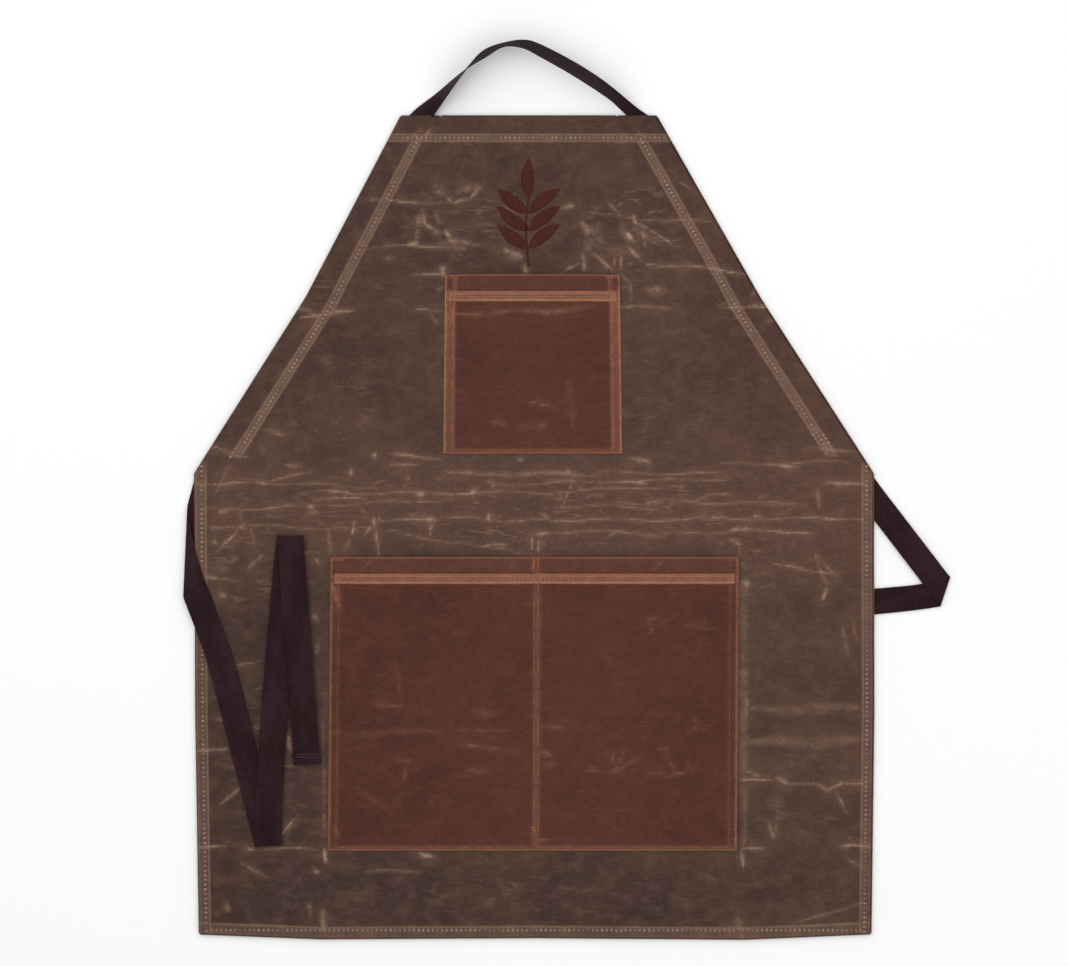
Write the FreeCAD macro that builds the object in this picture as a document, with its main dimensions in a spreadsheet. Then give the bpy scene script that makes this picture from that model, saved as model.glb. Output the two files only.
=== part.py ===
"""A waxed canvas bib apron, laid flat with its front up.

The frame: X across the apron, Y towards the neck, Z up out of the front, in millimetres.
The origin is under the middle of the cloth, on the surface that the apron lies on.
One length of flat webbing runs through a casing along each slanted edge of the bib. It makes
the neck loop above the bib and the two ties at the waist. The layers from the bottom up are the
turned hems and casings, the main cloth, the pockets and threads, and the folded left tie.
"""

import FreeCAD, Part
import os
import re
import Sketcher

DIMENSIONS = (
    # the main cloth, seen from the front
    ("half_width", 326.5),
    ("half_length", 395),
    ("waist_y", 51),
    ("top_left_x", -128),
    ("top_right_x", 118),
    ("bow_y", 221),
    ("bow_left_x", -219),
    ("bow_right_x", 217),
    ("joint_gap", 0.3),
    # cloth, hems and webbing
    ("canvas_thick", 0.7),
    ("hem_thick", 2.4),
    ("top_hem", 28),
    ("side_hem", 12),
    ("bottom_hem", 12.5),
    ("strap_thick", 1.0),
    ("strap_rest_z", 0.1),
    ("strap_clear", 0.1),
    ("layer_gap", 0.3),
    # the casings along the slanted edges, measured across the apron from the edge
    ("casing_width", 33),
    ("channel_near", 1.5),
    ("channel_far", 27.5),
    # the pockets
    ("chest_left_x", -87),
    ("chest_right_x", 84.5),
    ("chest_top_y", 242),
    ("chest_low_y", 70),
    ("lower_left_x", -198),
    ("lower_right_x", 196.5),
    ("lower_top_y", -29),
    ("lower_low_y", -311),
    ("divider_x", 2),
    ("divider_half", 4),
    ("pocket_edge", 10),
    ("pocket_gap", 5),
    ("pocket_hem", 26),
    ("pocket_floor", 7),
    # stitching: rows of thread as thin beads on the cloth
    ("thread_wide", 0.8),
    ("thread_high", 0.25),
    ("top_row", 23),
    ("side_row", 7.5),
    ("bottom_row", 8.5),
    ("casing_row_near", 25),
    ("casing_row_gap", 5.5),
    ("casing_row_left_end", 68),
    ("casing_row_right_end", 74),
    ("row_inset", 3),
    ("pocket_row_near", 1.8),
    ("pocket_row_gap", 6),
    ("pocket_row_low", 3.5),
    ("pocket_hem_row", 22),
    ("divider_row_half", 2),
    # the printed sprig on the bib
    ("print_x", -5),
    ("print_y", 268),
    ("print_thick", 0.15),
    ("stem_length", 74),
    ("stem_wide", 2.4),
    ("leaf_length", 30),
    ("leaf_half", 6.5),
    ("leaf_pairs", 3),
    ("leaf_angle", 42),
    # the neck loop: its feet lie flat, and its crown stands on edge
    ("loop_foot_left_x", -117),
    ("loop_foot_left_in_x", -94),
    ("loop_foot_right_x", 106.6),
    ("loop_foot_right_in_x", 88.3),
    ("loop_left_x", -67),
    ("loop_left_y", 437.5),
    ("loop_bend_x", -42),
    ("loop_bend_y", 454.5),
    ("loop_crown_x", -12),
    ("loop_crown_y", 461.5),
    ("loop_slope_x", 25),
    ("loop_slope_y", 445),
    ("loop_right_x", 71),
    ("loop_right_y", 417.5),
    ("loop_half_thick", 3),
    ("loop_height", 25.4),
    # the left tie: round the side edge to the front, then folded down, up and down
    ("root_left_out_x", -325.5),
    ("root_left_in_x", -298.5),
    ("root_left_end_x", -327.2),
    ("root_left_end_y", -20),
    ("root_left_start_y", 48),
    ("roll_in_x", -328),
    ("roll_out_x", -336),
    ("roll_top_y", 27),
    ("roll_upper_y", -32),
    ("roll_lower_y", -63),
    ("roll_low_y", -85),
    ("roll_front_y", -20),
    ("wrap_bend_x", -305.3),
    ("wrap_bend_y", -78.2),
    ("run_half", 13.3),
    ("run_one_x", -300.7),
    ("run_one_y", -127.2),
    ("lower_fold_x", -255),
    ("lower_fold_y", -306),
    ("upper_fold_x", -234),
    ("upper_fold_y", -9),
    ("left_end_x", -219.5),
    ("left_end_y", -227.5),
    ("end_hem", 12),
    ("left_notch_y", -24),
    # the right tie: out past the side edge, creased, and back under the cloth
    ("root_right_out_x", 324),
    ("root_right_in_x", 296.5),
    ("right_step_x", 331),
    ("right_step_out_y", 40),
    ("right_step_in_y", 1.5),
    ("crease_top_x", 399.2),
    ("crease_top_y", -49.1),
    ("crease_low_x", 390.2),
    ("crease_low_y", -76.1),
    ("crease_in_x", 375.2),
    ("crease_in_y", -56),
    ("outer_run_z", 1.7),
    ("tail_top_x", 396.9),
    ("tail_top_y", -54.6),
    ("tail_low_x", 389.2),
    ("tail_low_y", -77.5),
    ("tail_end_x", -229),
    ("tail_end_y", -121),
    ("tail_half", 12.7),
    ("right_notch_y", 0),
    ("tail_notch_top_y", -56),
    ("tail_notch_low_y", -88),
    ("notch_depth", 1.5),
)

doc = FreeCAD.newDocument("apron")
sheet = doc.addObject("Spreadsheet::Sheet", "Dimensions")
CELLS = {name for name, number in DIMENSIONS}


def fill_sheet():
    """Each driving dimension is a cell of plain numbers with an alias."""
    for row, (name, number) in enumerate(DIMENSIONS, 1):
        sheet.set(f"A{row}", name)
        sheet.set(f"B{row}", str(number))
        sheet.setAlias(f"B{row}", name)
    doc.recompute()


def value(expression):
    """The number that an expression of the sheet's aliases gives."""
    return float(sheet.evalExpression(expression))


def bound(expression):
    """The same expression as another object reads it, with the sheet's name before each alias."""

    def full_name(match):
        word = match.group(0)
        return f"Dimensions.{word}" if word in CELLS else word

    return re.sub(r"[a-z_]+", full_name, expression)


def draw(sketch, corners):
    """Adds one closed outline whose corners stay bound to the sheet."""
    first = sketch.GeometryCount
    count = len(corners)
    points = [FreeCAD.Vector(value(x), value(y), 0) for x, y in corners]
    for i in range(count):
        sketch.addGeometry(Part.LineSegment(points[i], points[(i + 1) % count]))
    for i in range(count):
        following = first + (i + 1) % count
        sketch.addConstraint(Sketcher.Constraint("Coincident", first + i, 2, following, 1))
    for i in range(count):
        for kind, axis in (("DistanceX", 0), ("DistanceY", 1)):
            rule = Sketcher.Constraint(kind, -1, 1, first + i, 1, points[i][axis])
            index = sketch.addConstraint(rule)
            sketch.setExpression(f"Constraints[{index}]", bound(corners[i][axis]))


def new_body(label, base_z="0"):
    body = doc.addObject("PartDesign::Body", label)
    body.Label = label
    body.setExpression("Placement.Base.z", bound(base_z))
    return body


def sketch_in(body, name, corners, base_z="0"):
    sketch = body.newObject("Sketcher::SketchObject", name)
    planes = [f for f in body.Origin.OriginFeatures if f.Role == "XY_Plane"]
    sketch.AttachmentSupport = (planes[0], [""])
    sketch.MapMode = "FlatFace"
    sketch.setExpression("AttachmentOffset.Base.z", bound(base_z))
    draw(sketch, corners)
    return sketch


def add_layer(body, name, corners, height, base_z="0"):
    """Pads an outline upwards from base_z, in the body's own height."""
    pad = body.newObject("PartDesign::Pad", name)
    pad.Profile = sketch_in(body, name + "_outline", corners, base_z)
    pad.setExpression("Length", bound(height))
    doc.recompute()
    return pad


def cut_layer(body, name, corners, depth, base_z="0"):
    """Cuts an outline out upwards from base_z, and makes sure that it took material away."""
    before = body.Shape.Volume
    pocket = body.newObject("PartDesign::Pocket", name)
    pocket.Profile = sketch_in(body, name + "_outline", corners, base_z)
    pocket.setExpression("Length", bound(depth))
    pocket.Reversed = True
    doc.recompute()
    if body.Shape.Volume > before - 1:
        raise RuntimeError(name + " cuts nothing")
    return pocket


def flat_piece(label, corners, height, base_z):
    body = new_body(label, base_z)
    add_layer(body, label + "_layer", corners, height)
    return body


def thread_rows(label, outlines, base_z):
    """Rows of thread: one thin solid for each outline, all in one node."""
    rows = doc.addObject("Sketcher::SketchObject", label + "_rows")
    for corners in outlines:
        draw(rows, corners)
    threads = doc.addObject("Part::Extrusion", label)
    threads.Label = label
    threads.Base = rows
    threads.DirMode = "Normal"
    threads.Solid = True
    threads.setExpression("LengthFwd", bound("thread_high"))
    threads.setExpression("Placement.Base.z", bound(base_z))
    return threads


def rectangle(left, low, right, top):
    return [(left, low), (right, low), (right, top), (left, top)]


def row_across(left, right, y):
    return rectangle(left, f"{y} - thread_wide / 2", right, f"{y} + thread_wide / 2")


def row_along(x, low, top):
    return rectangle(f"{x} - thread_wide / 2", low, f"{x} + thread_wide / 2", top)


def slanted_edge(side, top_y, low_y):
    """Three points down a slanted edge of the bib, which bows a little inwards at bow_y."""
    top_x = f"top_{side}_x"
    bow_x = f"bow_{side}_x"
    corner_x = "-half_width" if side == "left" else "half_width"
    upper = f"({bow_x} - {top_x}) * (half_length - ({top_y})) / (half_length - bow_y)"
    lower = f"({corner_x} - {bow_x}) * (bow_y - ({low_y})) / (bow_y - waist_y)"
    return [(f"{top_x} + {upper}", top_y), (bow_x, "bow_y"), (f"{bow_x} + {lower}", low_y)]


def edge_strip(side, near, far, top_y, low_y):
    """A strip beside a slanted edge, from near to far, measured across the apron."""
    inward = "+" if side == "left" else "-"
    line = slanted_edge(side, top_y, low_y)
    outer = [(f"{x} {inward} ({near})", y) for x, y in line]
    inner = [(f"{x} {inward} ({far})", y) for x, y in line]
    return outer + inner[::-1]


FRONT = "hem_thick + canvas_thick"
BIB_LOW = "waist_y + joint_gap / 2"
SKIRT_TOP = "waist_y - joint_gap / 2"
ON_POCKET = "hem_thick + 2 * canvas_thick"
ON_POUCH = "hem_thick + 2 * canvas_thick + pocket_gap"


def main_cloth():
    """The main cloth, in two solids that meet at the line where it folds at the waist."""
    left = slanted_edge("left", "half_length", BIB_LOW)
    right = slanted_edge("right", "half_length", BIB_LOW)
    flat_piece("bib_panel", left + right[::-1], "canvas_thick", "hem_thick")
    skirt = rectangle("-half_width", "-half_length", "half_width", SKIRT_TOP)
    flat_piece("skirt_panel", skirt, "canvas_thick", "hem_thick")


def hems():
    """Turned edges under the cloth. The side hems ride over the ties that pass beneath them."""
    hem_low = "half_length - top_hem"
    left = slanted_edge("left", "half_length", "bow_y")[0]
    right = slanted_edge("right", "half_length", "bow_y")[0]
    left_low = slanted_edge("left", hem_low, "bow_y")[0]
    right_low = slanted_edge("right", hem_low, "bow_y")[0]
    inset = "(casing_width + joint_gap)"
    top = [
        (f"{left_low[0]} + {inset}", hem_low),
        (f"{right_low[0]} - {inset}", hem_low),
        (f"{right[0]} - {inset}", "half_length"),
        (f"{left[0]} + {inset}", "half_length"),
    ]
    flat_piece("top_hem", top, "hem_thick", "0")

    side_low = "-half_length + bottom_hem"
    left_body = new_body("left_side_hem")
    left_side = rectangle("-half_width", side_low, "-half_width + side_hem", SKIRT_TOP)
    add_layer(left_body, "left_side_hem_layer", left_side, "hem_thick")
    notch = rectangle("-half_width", "left_notch_y", "-half_width + side_hem", SKIRT_TOP)
    cut_layer(left_body, "left_tie_notch", notch, "notch_depth")

    right_body = new_body("right_side_hem")
    right_side = rectangle("half_width - side_hem", side_low, "half_width", SKIRT_TOP)
    add_layer(right_body, "right_side_hem_layer", right_side, "hem_thick")
    notch = rectangle("half_width - side_hem", "right_notch_y", "half_width", SKIRT_TOP)
    cut_layer(right_body, "right_tie_notch", notch, "notch_depth")
    tail = rectangle("half_width - side_hem", "tail_notch_low_y", "half_width", "tail_notch_top_y")
    cut_layer(right_body, "right_tail_notch", tail, "notch_depth")

    bottom = rectangle("-half_width", "-half_length", "half_width", side_low)
    flat_piece("bottom_hem", bottom, "hem_thick", "0")


def casing(side):
    """A tunnel folded under the slanted edge, open at both ends, with the webbing in it."""
    body = new_body(f"{side}_casing")
    whole = edge_strip(side, "0", "casing_width", "half_length", BIB_LOW)
    add_layer(body, f"{side}_casing_layer", whole, "hem_thick")
    channel = edge_strip(side, "channel_near", "channel_far", "half_length", BIB_LOW)
    height = "hem_thick - canvas_thick"
    cut_layer(body, f"{side}_casing_channel", channel, height, "canvas_thick")
    inside = "joint_gap"
    near = f"channel_near + {inside}"
    far = f"channel_far - {inside}"
    strap = edge_strip(side, near, far, "half_length", BIB_LOW)
    flat_piece(f"{side}_casing_webbing", strap, "strap_thick", "canvas_thick + strap_clear")


def chest_pocket():
    """A patch pocket whose middle stands off the bib and opens towards the neck."""
    body = new_body("chest_pocket", FRONT)
    sides = ("chest_left_x", "chest_low_y", "chest_right_x", "chest_top_y")
    add_layer(body, "chest_pocket_edge", rectangle(*sides), "canvas_thick")
    pouch(body, "chest_pouch", "chest", "chest_left_x + pocket_edge", "chest_right_x - pocket_edge")
    hem_inside("chest_pocket_hem", "chest", "chest_left_x", "chest_right_x")


def pouch(body, label, name, left, right):
    """The raised part of a pocket, hollow and open at the top, between left and right."""
    low = f"{name}_low_y + pocket_floor"
    top = f"{name}_top_y"
    outer = rectangle(left, low, right, top)
    add_layer(body, label, outer, "pocket_gap + canvas_thick")
    wall = "canvas_thick"
    inner = rectangle(f"{left} + {wall}", f"{low} + {wall}", f"{right} - {wall}", top)
    cut_layer(body, label + "_inside", inner, "pocket_gap")


def hem_strip(name, left, right):
    """The outline of a pocket's turned top edge, just inside the mouth."""
    inset = "(pocket_edge + canvas_thick + strap_clear)"
    low = f"{name}_top_y - pocket_hem"
    return rectangle(f"{left} + {inset}", low, f"{right} - {inset}", f"{name}_top_y")


def hem_inside(label, name, left, right):
    height = f"{FRONT} + pocket_gap - canvas_thick"
    flat_piece(label, hem_strip(name, left, right), "canvas_thick", height)


def lower_pocket():
    """One wide patch sewn down in the middle, which makes two pockets side by side."""
    body = new_body("lower_pocket", FRONT)
    sides = ("lower_left_x", "lower_low_y", "lower_right_x", "lower_top_y")
    add_layer(body, "lower_pocket_edge", rectangle(*sides), "canvas_thick")
    left_side = "lower_left_x + pocket_edge"
    right_side = "lower_right_x - pocket_edge"
    pouch(body, "left_pouch", "lower", left_side, "divider_x - divider_half")
    pouch(body, "right_pouch", "lower", "divider_x + divider_half", right_side)
    reach = "divider_half - pocket_edge"
    left_hem = ("lower_left_x", f"divider_x - ({reach})")
    right_hem = (f"divider_x + ({reach})", "lower_right_x")
    for side, (left, right) in (("left", left_hem), ("right", right_hem)):
        hem_inside(f"{side}_lower_pocket_hem", "lower", left, right)


def hem_stitching():
    top_y = "half_length - top_row"
    left = f"{slanted_edge('left', top_y, 'bow_y')[0][0]} + row_inset"
    right = f"{slanted_edge('right', top_y, 'bow_y')[0][0]} - row_inset"
    thread_rows("top_hem_stitching", [row_across(left, right, top_y)], FRONT)

    low = "-half_length + row_inset"
    top = "waist_y - row_inset"
    for side, x in (("left", "-half_width + side_row"), ("right", "half_width - side_row")):
        thread_rows(f"{side}_side_hem_stitching", [row_along(x, low, top)], FRONT)
    inset = "(side_row + row_inset)"
    bottom = row_across(f"-half_width + {inset}", f"half_width - {inset}", "-half_length + bottom_row")
    thread_rows("bottom_hem_stitching", [bottom], FRONT)


def casing_stitching(side):
    rows = []
    for shift in ("0", "casing_row_gap"):
        near = f"casing_row_near + {shift}"
        far = f"casing_row_near + {shift} + thread_wide"
        top = "half_length - top_hem"
        rows.append(edge_strip(side, near, far, top, f"casing_row_{side}_end"))
    thread_rows(f"{side}_casing_stitching", rows, FRONT)


def pocket_stitching(name):
    """Two rows down each side of a pocket, one along its bottom, and one on its turned top."""
    left = f"{name}_left_x"
    right = f"{name}_right_x"
    low = f"{name}_low_y"
    top = f"{name}_top_y - thread_wide"
    foot = f"{low} + pocket_row_low"
    far = "(pocket_row_near + pocket_row_gap)"
    rows = [row_across(f"{left} + {far} + thread_wide", f"{right} - {far} - thread_wide", foot)]
    for step in ("pocket_row_near", far):
        rows.append(row_along(f"{left} + {step}", foot, top))
        rows.append(row_along(f"{right} - {step}", foot, top))
    thread_rows(f"{name}_pocket_stitching", rows, ON_POCKET)


def pocket_hem_stitching():
    inset = "(pocket_edge + row_inset)"
    chest_y = "chest_top_y - pocket_hem_row"
    chest = row_across(f"chest_left_x + {inset}", f"chest_right_x - {inset}", chest_y)
    thread_rows("chest_pocket_hem_stitching", [chest], ON_POUCH)
    lower_y = "lower_top_y - pocket_hem_row"
    middle = "(divider_half + row_inset)"
    rows = [
        row_across(f"lower_left_x + {inset}", f"divider_x - {middle}", lower_y),
        row_across(f"divider_x + {middle}", f"lower_right_x - {inset}", lower_y),
    ]
    thread_rows("lower_pocket_hem_stitching", rows, ON_POUCH)
    low = "lower_low_y + pocket_row_low + thread_wide"
    top = "lower_top_y - thread_wide"
    rows = [
        row_along("divider_x - divider_row_half", low, top),
        row_along("divider_x + divider_row_half", low, top),
    ]
    thread_rows("pocket_divider_stitching", rows, ON_POCKET)


def leaf(base, angle, length, half, thick):
    """One pointed leaf between two arcs, flat, growing from base at an angle to the X axis."""
    along = FreeCAD.Rotation(FreeCAD.Vector(0, 0, 1), angle)
    tip = base + along.multVec(FreeCAD.Vector(length, 0, 0))
    left = base + along.multVec(FreeCAD.Vector(length / 2, half, 0))
    right = base + along.multVec(FreeCAD.Vector(length / 2, -half, 0))
    edges = [Part.Arc(base, left, tip).toShape(), Part.Arc(tip, right, base).toShape()]
    return Part.Face(Part.Wire(edges)).extrude(FreeCAD.Vector(0, 0, thick))


def bib_print():
    """A sprig printed on the bib: a stem, pairs of leaves up it, and one leaf at its tip."""
    thick = value("print_thick")
    stem = value("stem_length")
    wide = value("stem_wide")
    length = value("leaf_length")
    half = value("leaf_half")
    angle = value("leaf_angle")
    pairs = int(value("leaf_pairs"))
    sprig = Part.makeBox(wide, stem, thick, FreeCAD.Vector(-wide / 2, 0, 0))
    for i in range(pairs):
        height = stem * (i + 1) / (pairs + 1)
        base = FreeCAD.Vector(0, height, 0)
        for turn in (angle, 180 - angle):
            sprig = sprig.fuse(leaf(base, turn, length, half, thick))
    tip = FreeCAD.Vector(0, stem - wide, 0)
    sprig = sprig.fuse(leaf(tip, 90, length, half, thick)).removeSplitter()
    feature = doc.addObject("Part::Feature", "bib_print")
    feature.Label = "bib_print"
    feature.Shape = sprig
    place = FreeCAD.Vector(value("print_x"), value("print_y"), value(FRONT))
    feature.Placement = FreeCAD.Placement(place, FreeCAD.Rotation())


def neck_loop():
    """The loop between the casings' top ends. Its feet lie flat and its crown stands on edge."""
    body = new_body("neck_loop")
    middle = [
        (f"loop_{name}_x", f"loop_{name}_y") for name in ("left", "bend", "crown", "slope", "right")
    ]
    outer = [(x, f"{y} + loop_half_thick") for x, y in middle]
    inner = [(x, f"{y} - loop_half_thick") for x, y in middle]
    crown = outer + inner[::-1]
    add_layer(body, "loop_crown", crown, "loop_height", "strap_rest_z")
    foot_y = "half_length + joint_gap"
    strap_z = "canvas_thick + strap_clear"
    for side in ("left", "right"):
        foot = [
            (f"loop_foot_{side}_x", foot_y),
            (f"loop_foot_{side}_in_x", foot_y),
            (f"loop_{side}_x", f"loop_{side}_y - loop_half_thick"),
            (f"loop_{side}_x", f"loop_{side}_y + loop_half_thick"),
        ]
        add_layer(body, f"loop_{side}_foot", foot, "strap_thick", strap_z)


def run_outline(top_x, top_y, low_x, low_y):
    """A straight stretch of strap whose ends are cut along X."""
    return [
        (f"{low_x} - run_half", low_y),
        (f"{low_x} + run_half", low_y),
        (f"{top_x} + run_half", top_y),
        (f"{top_x} - run_half", top_y),
    ]


def left_tie():
    """From the casing under the side edge, round it, and in three layers on the front."""
    root = [
        ("root_left_out_x", SKIRT_TOP),
        ("root_left_in_x", SKIRT_TOP),
        ("root_left_end_x", "root_left_end_y"),
        ("root_left_end_x", "root_left_start_y"),
    ]
    flat_piece("left_tie_root", root, "strap_thick", "strap_rest_z")

    one_z = f"{FRONT} + thread_high + joint_gap"
    roll = [
        ("roll_in_x", "roll_top_y"),
        ("roll_out_x", "roll_upper_y"),
        ("roll_out_x", "roll_lower_y"),
        ("roll_in_x", "roll_low_y"),
    ]
    front = [
        ("roll_in_x", "roll_front_y"),
        ("roll_in_x", "roll_low_y"),
        ("run_one_x - run_half", "run_one_y"),
        ("run_one_x + run_half", "run_one_y"),
        ("wrap_bend_x", "wrap_bend_y"),
    ]
    wrap = new_body("left_tie_wrap", "strap_rest_z")
    add_layer(wrap, "wrap_roll", roll, f"{one_z} + strap_thick - strap_rest_z")
    add_layer(wrap, "wrap_front", front, "strap_thick", f"{one_z} - strap_rest_z")

    step = "strap_thick + layer_gap"
    two_z = f"{one_z} + {step}"
    three_z = f"{one_z} + 2 * ({step})"
    one = run_outline("run_one_x", "run_one_y", "lower_fold_x", "lower_fold_y")
    flat_piece("left_tie_run_one", one, "strap_thick", one_z)
    two = run_outline("upper_fold_x", "upper_fold_y", "lower_fold_x", "lower_fold_y")
    flat_piece("left_tie_run_two", two, "strap_thick", two_z)
    three = run_outline("upper_fold_x", "upper_fold_y", "left_end_x", "left_end_y")
    flat_piece("left_tie_run_three", three, "strap_thick", three_z)
    hem = rectangle(
        "left_end_x - run_half", "left_end_y", "left_end_x + run_half", "left_end_y + end_hem"
    )
    flat_piece("left_tie_end_hem", hem, "strap_thick", f"{three_z} + strap_thick")
    row = row_across(
        "left_end_x - run_half + row_inset",
        "left_end_x + run_half - row_inset",
        "left_end_y + end_hem - thread_wide",
    )
    thread_rows("left_tie_end_stitching", [row], f"{three_z} + 2 * strap_thick")


def right_tie():
    """From the casing out past the side edge to a crease, then back flat under the cloth."""
    body = new_body("right_tie_root")
    root = [
        ("root_right_in_x", SKIRT_TOP),
        ("root_right_out_x", SKIRT_TOP),
        ("right_step_x", "right_step_out_y"),
        ("right_step_x", "right_step_in_y"),
    ]
    add_layer(body, "root_under_hem", root, "strap_thick", "strap_rest_z")
    riser = rectangle(
        "right_step_x - strap_thick", "right_step_in_y", "right_step_x", "right_step_out_y"
    )
    rise = "outer_run_z + strap_thick - strap_rest_z"
    add_layer(body, "root_step", riser, rise, "strap_rest_z")
    outer = [
        ("right_step_x", "right_step_in_y"),
        ("right_step_x", "right_step_out_y"),
        ("crease_top_x", "crease_top_y"),
        ("crease_low_x", "crease_low_y"),
        ("crease_in_x", "crease_in_y"),
    ]
    add_layer(body, "outer_run", outer, "strap_thick", "outer_run_z")

    tail = [
        ("tail_top_x", "tail_top_y"),
        ("tail_low_x", "tail_low_y"),
        ("tail_end_x", "tail_end_y - tail_half"),
        ("tail_end_x", "tail_end_y + tail_half"),
    ]
    flat_piece("right_tie_tail", tail, "strap_thick", "strap_rest_z")
    hem = rectangle(
        "tail_end_x",
        "tail_end_y - tail_half + thread_wide * 2",
        "tail_end_x + end_hem",
        "tail_end_y + tail_half",
    )
    flat_piece("right_tie_end_hem", hem, "strap_thick - 2 * strap_clear", "strap_rest_z + strap_thick")


def node_objects():
    """The objects that are pieces of the apron, and not sketches or features inside a body."""
    kinds = ("PartDesign::Body", "Part::Extrusion", "Part::Feature")
    return [item for item in doc.Objects if item.TypeId in kinds]


def check_and_write():
    doc.recompute()
    for item in doc.Objects:
        if "Invalid" in item.State or "Error" in item.State:
            raise RuntimeError(f"{item.Label} did not recompute: {item.State}")
    nodes = node_objects()
    for item in nodes:
        if item.Shape.isNull() or not item.Shape.isValid() or not item.Shape.Solids:
            raise RuntimeError(f"{item.Label} has no valid solid")
    os.makedirs("parts", exist_ok=True)
    for item in nodes:
        item.Shape.exportStep(f"parts/{item.Label}.step")
        box = item.Shape.BoundBox
        print(
            f"{item.Label:28s} {item.Shape.Volume:10.1f} mm3"
            f"  z {box.ZMin:.2f} to {box.ZMax:.2f}  solids {len(item.Shape.Solids)}"
        )
    print(len(nodes), "pieces")


fill_sheet()
main_cloth()
hems()
for side in ("left", "right"):
    casing(side)
chest_pocket()
lower_pocket()
hem_stitching()
for side in ("left", "right"):
    casing_stitching(side)
for name in ("chest", "lower"):
    pocket_stitching(name)
pocket_hem_stitching()
bib_print()
neck_loop()
left_tie()
right_tie()
check_and_write()
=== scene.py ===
"""The looks of a waxed canvas bib apron that lies flat with its front up, round its CAD frame.

Lengths in this script are in millimetres until a mesh is made. X is across the apron, Y towards
the neck, and Z up out of its front. A piece's "place" attribute is where each point lies on its
cloth at rest, in metres, so that the weave and the wear stay put when a joint moves.
"""

import math
import random

import bpy
import numpy as np
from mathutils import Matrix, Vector
from mathutils.bvhtree import BVHTree


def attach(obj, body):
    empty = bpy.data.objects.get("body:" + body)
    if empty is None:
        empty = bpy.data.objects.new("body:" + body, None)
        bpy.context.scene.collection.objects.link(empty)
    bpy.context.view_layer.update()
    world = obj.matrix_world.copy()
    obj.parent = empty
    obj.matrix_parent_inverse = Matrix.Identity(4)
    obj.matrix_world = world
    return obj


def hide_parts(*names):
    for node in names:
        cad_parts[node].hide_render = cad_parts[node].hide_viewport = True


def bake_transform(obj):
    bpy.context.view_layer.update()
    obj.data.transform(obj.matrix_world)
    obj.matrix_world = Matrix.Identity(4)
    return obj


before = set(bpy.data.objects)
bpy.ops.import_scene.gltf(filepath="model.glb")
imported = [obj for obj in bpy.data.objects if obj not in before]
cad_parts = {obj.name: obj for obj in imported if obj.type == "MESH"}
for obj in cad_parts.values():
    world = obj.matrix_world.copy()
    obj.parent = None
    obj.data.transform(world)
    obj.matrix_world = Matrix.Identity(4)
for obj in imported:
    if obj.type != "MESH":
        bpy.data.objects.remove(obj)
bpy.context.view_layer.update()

MM = 0.001
CLOTH = 0.7
WEBBING = 1.0
HALF_WIDTH = 326.5
HALF_LENGTH = 395.0
WAIST_Y = 51.0
EDGE_Y = (HALF_LENGTH, 221.0, WAIST_Y, -180.0, -HALF_LENGTH)
LEFT_X = (-128.0, -219.0, -HALF_WIDTH, -325.5, -322.0)
RIGHT_X = (118.0, 217.0, HALF_WIDTH, 327.0, 324.2)
SEAM_RIDGES = (21.1, 29.4)
SEAM_ROW = 25.4
TOP_RIDGES = (18.6, 25.2)
TOP_ROW = 21.9
HEM_RIDGE = 11.3
HEM_ROW = 7.4
TOP_MID = 2.75
LOW_MID = 0.55
FOLD_IN = 1.45
CHEST = (-87.0, 84.5, 70.0, 242.0)
LOWER = (-198.0, 196.5, -311.0, -29.0)
DIVIDER_X = 2.0
POCKET_MID = 0.38
POCKET_HEM = 26.0
POCKET_FOLD = 0.39
CASING_MIDDLE = 14.5
# how far each corner of a pocket is off its rectangle: low left, low right, top left, top right
LEANS = {CHEST: (0.0, 0.0, 1.6, -2.2), LOWER: (0.0, -1.8, 2.8, 0.0)}


def smooth(t):
    t = np.clip(t, 0, 1)
    return t * t * (3 - 2 * t)


def edge_x(y, xs):
    """Where a side edge of the apron is, from its three corners."""
    return np.interp(y, EDGE_Y[::-1], xs[::-1])


def bump_at(t, middle, width):
    return np.exp(-(((t - middle) / width) ** 2))


def edge_cosine(y):
    """How much nearer a sloping side edge is than it looks straight across, at each height."""
    slopes = [(x1 - x0) / (y1 - y0) for x0, x1, y0, y1 in zip(LEFT_X, LEFT_X[1:], EDGE_Y, EDGE_Y[1:])]
    upper, lower = (1 / math.hypot(1, slope) for slope in slopes[:2])
    bib = lower + (upper - lower) * smooth((y - EDGE_Y[1] + 12) / 24)
    return 1 + (bib - 1) * smooth((y - WAIST_Y + 4) / 8)


def from_skirt_edges(x, y):
    """How far a place is from the nearer edge of the skirt, or from that edge carried on upwards."""
    low = np.minimum(y, WAIST_Y)
    return np.minimum(x - edge_x(low, LEFT_X), edge_x(low, RIGHT_X) - x)


def from_edges(x, y):
    """How far a place is from the nearer side edge, square to that edge."""
    across = np.minimum(x - edge_x(y, LEFT_X), edge_x(y, RIGHT_X) - x)
    return across * edge_cosine(y)


# ---------------------------------------------------------------- materials


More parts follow.
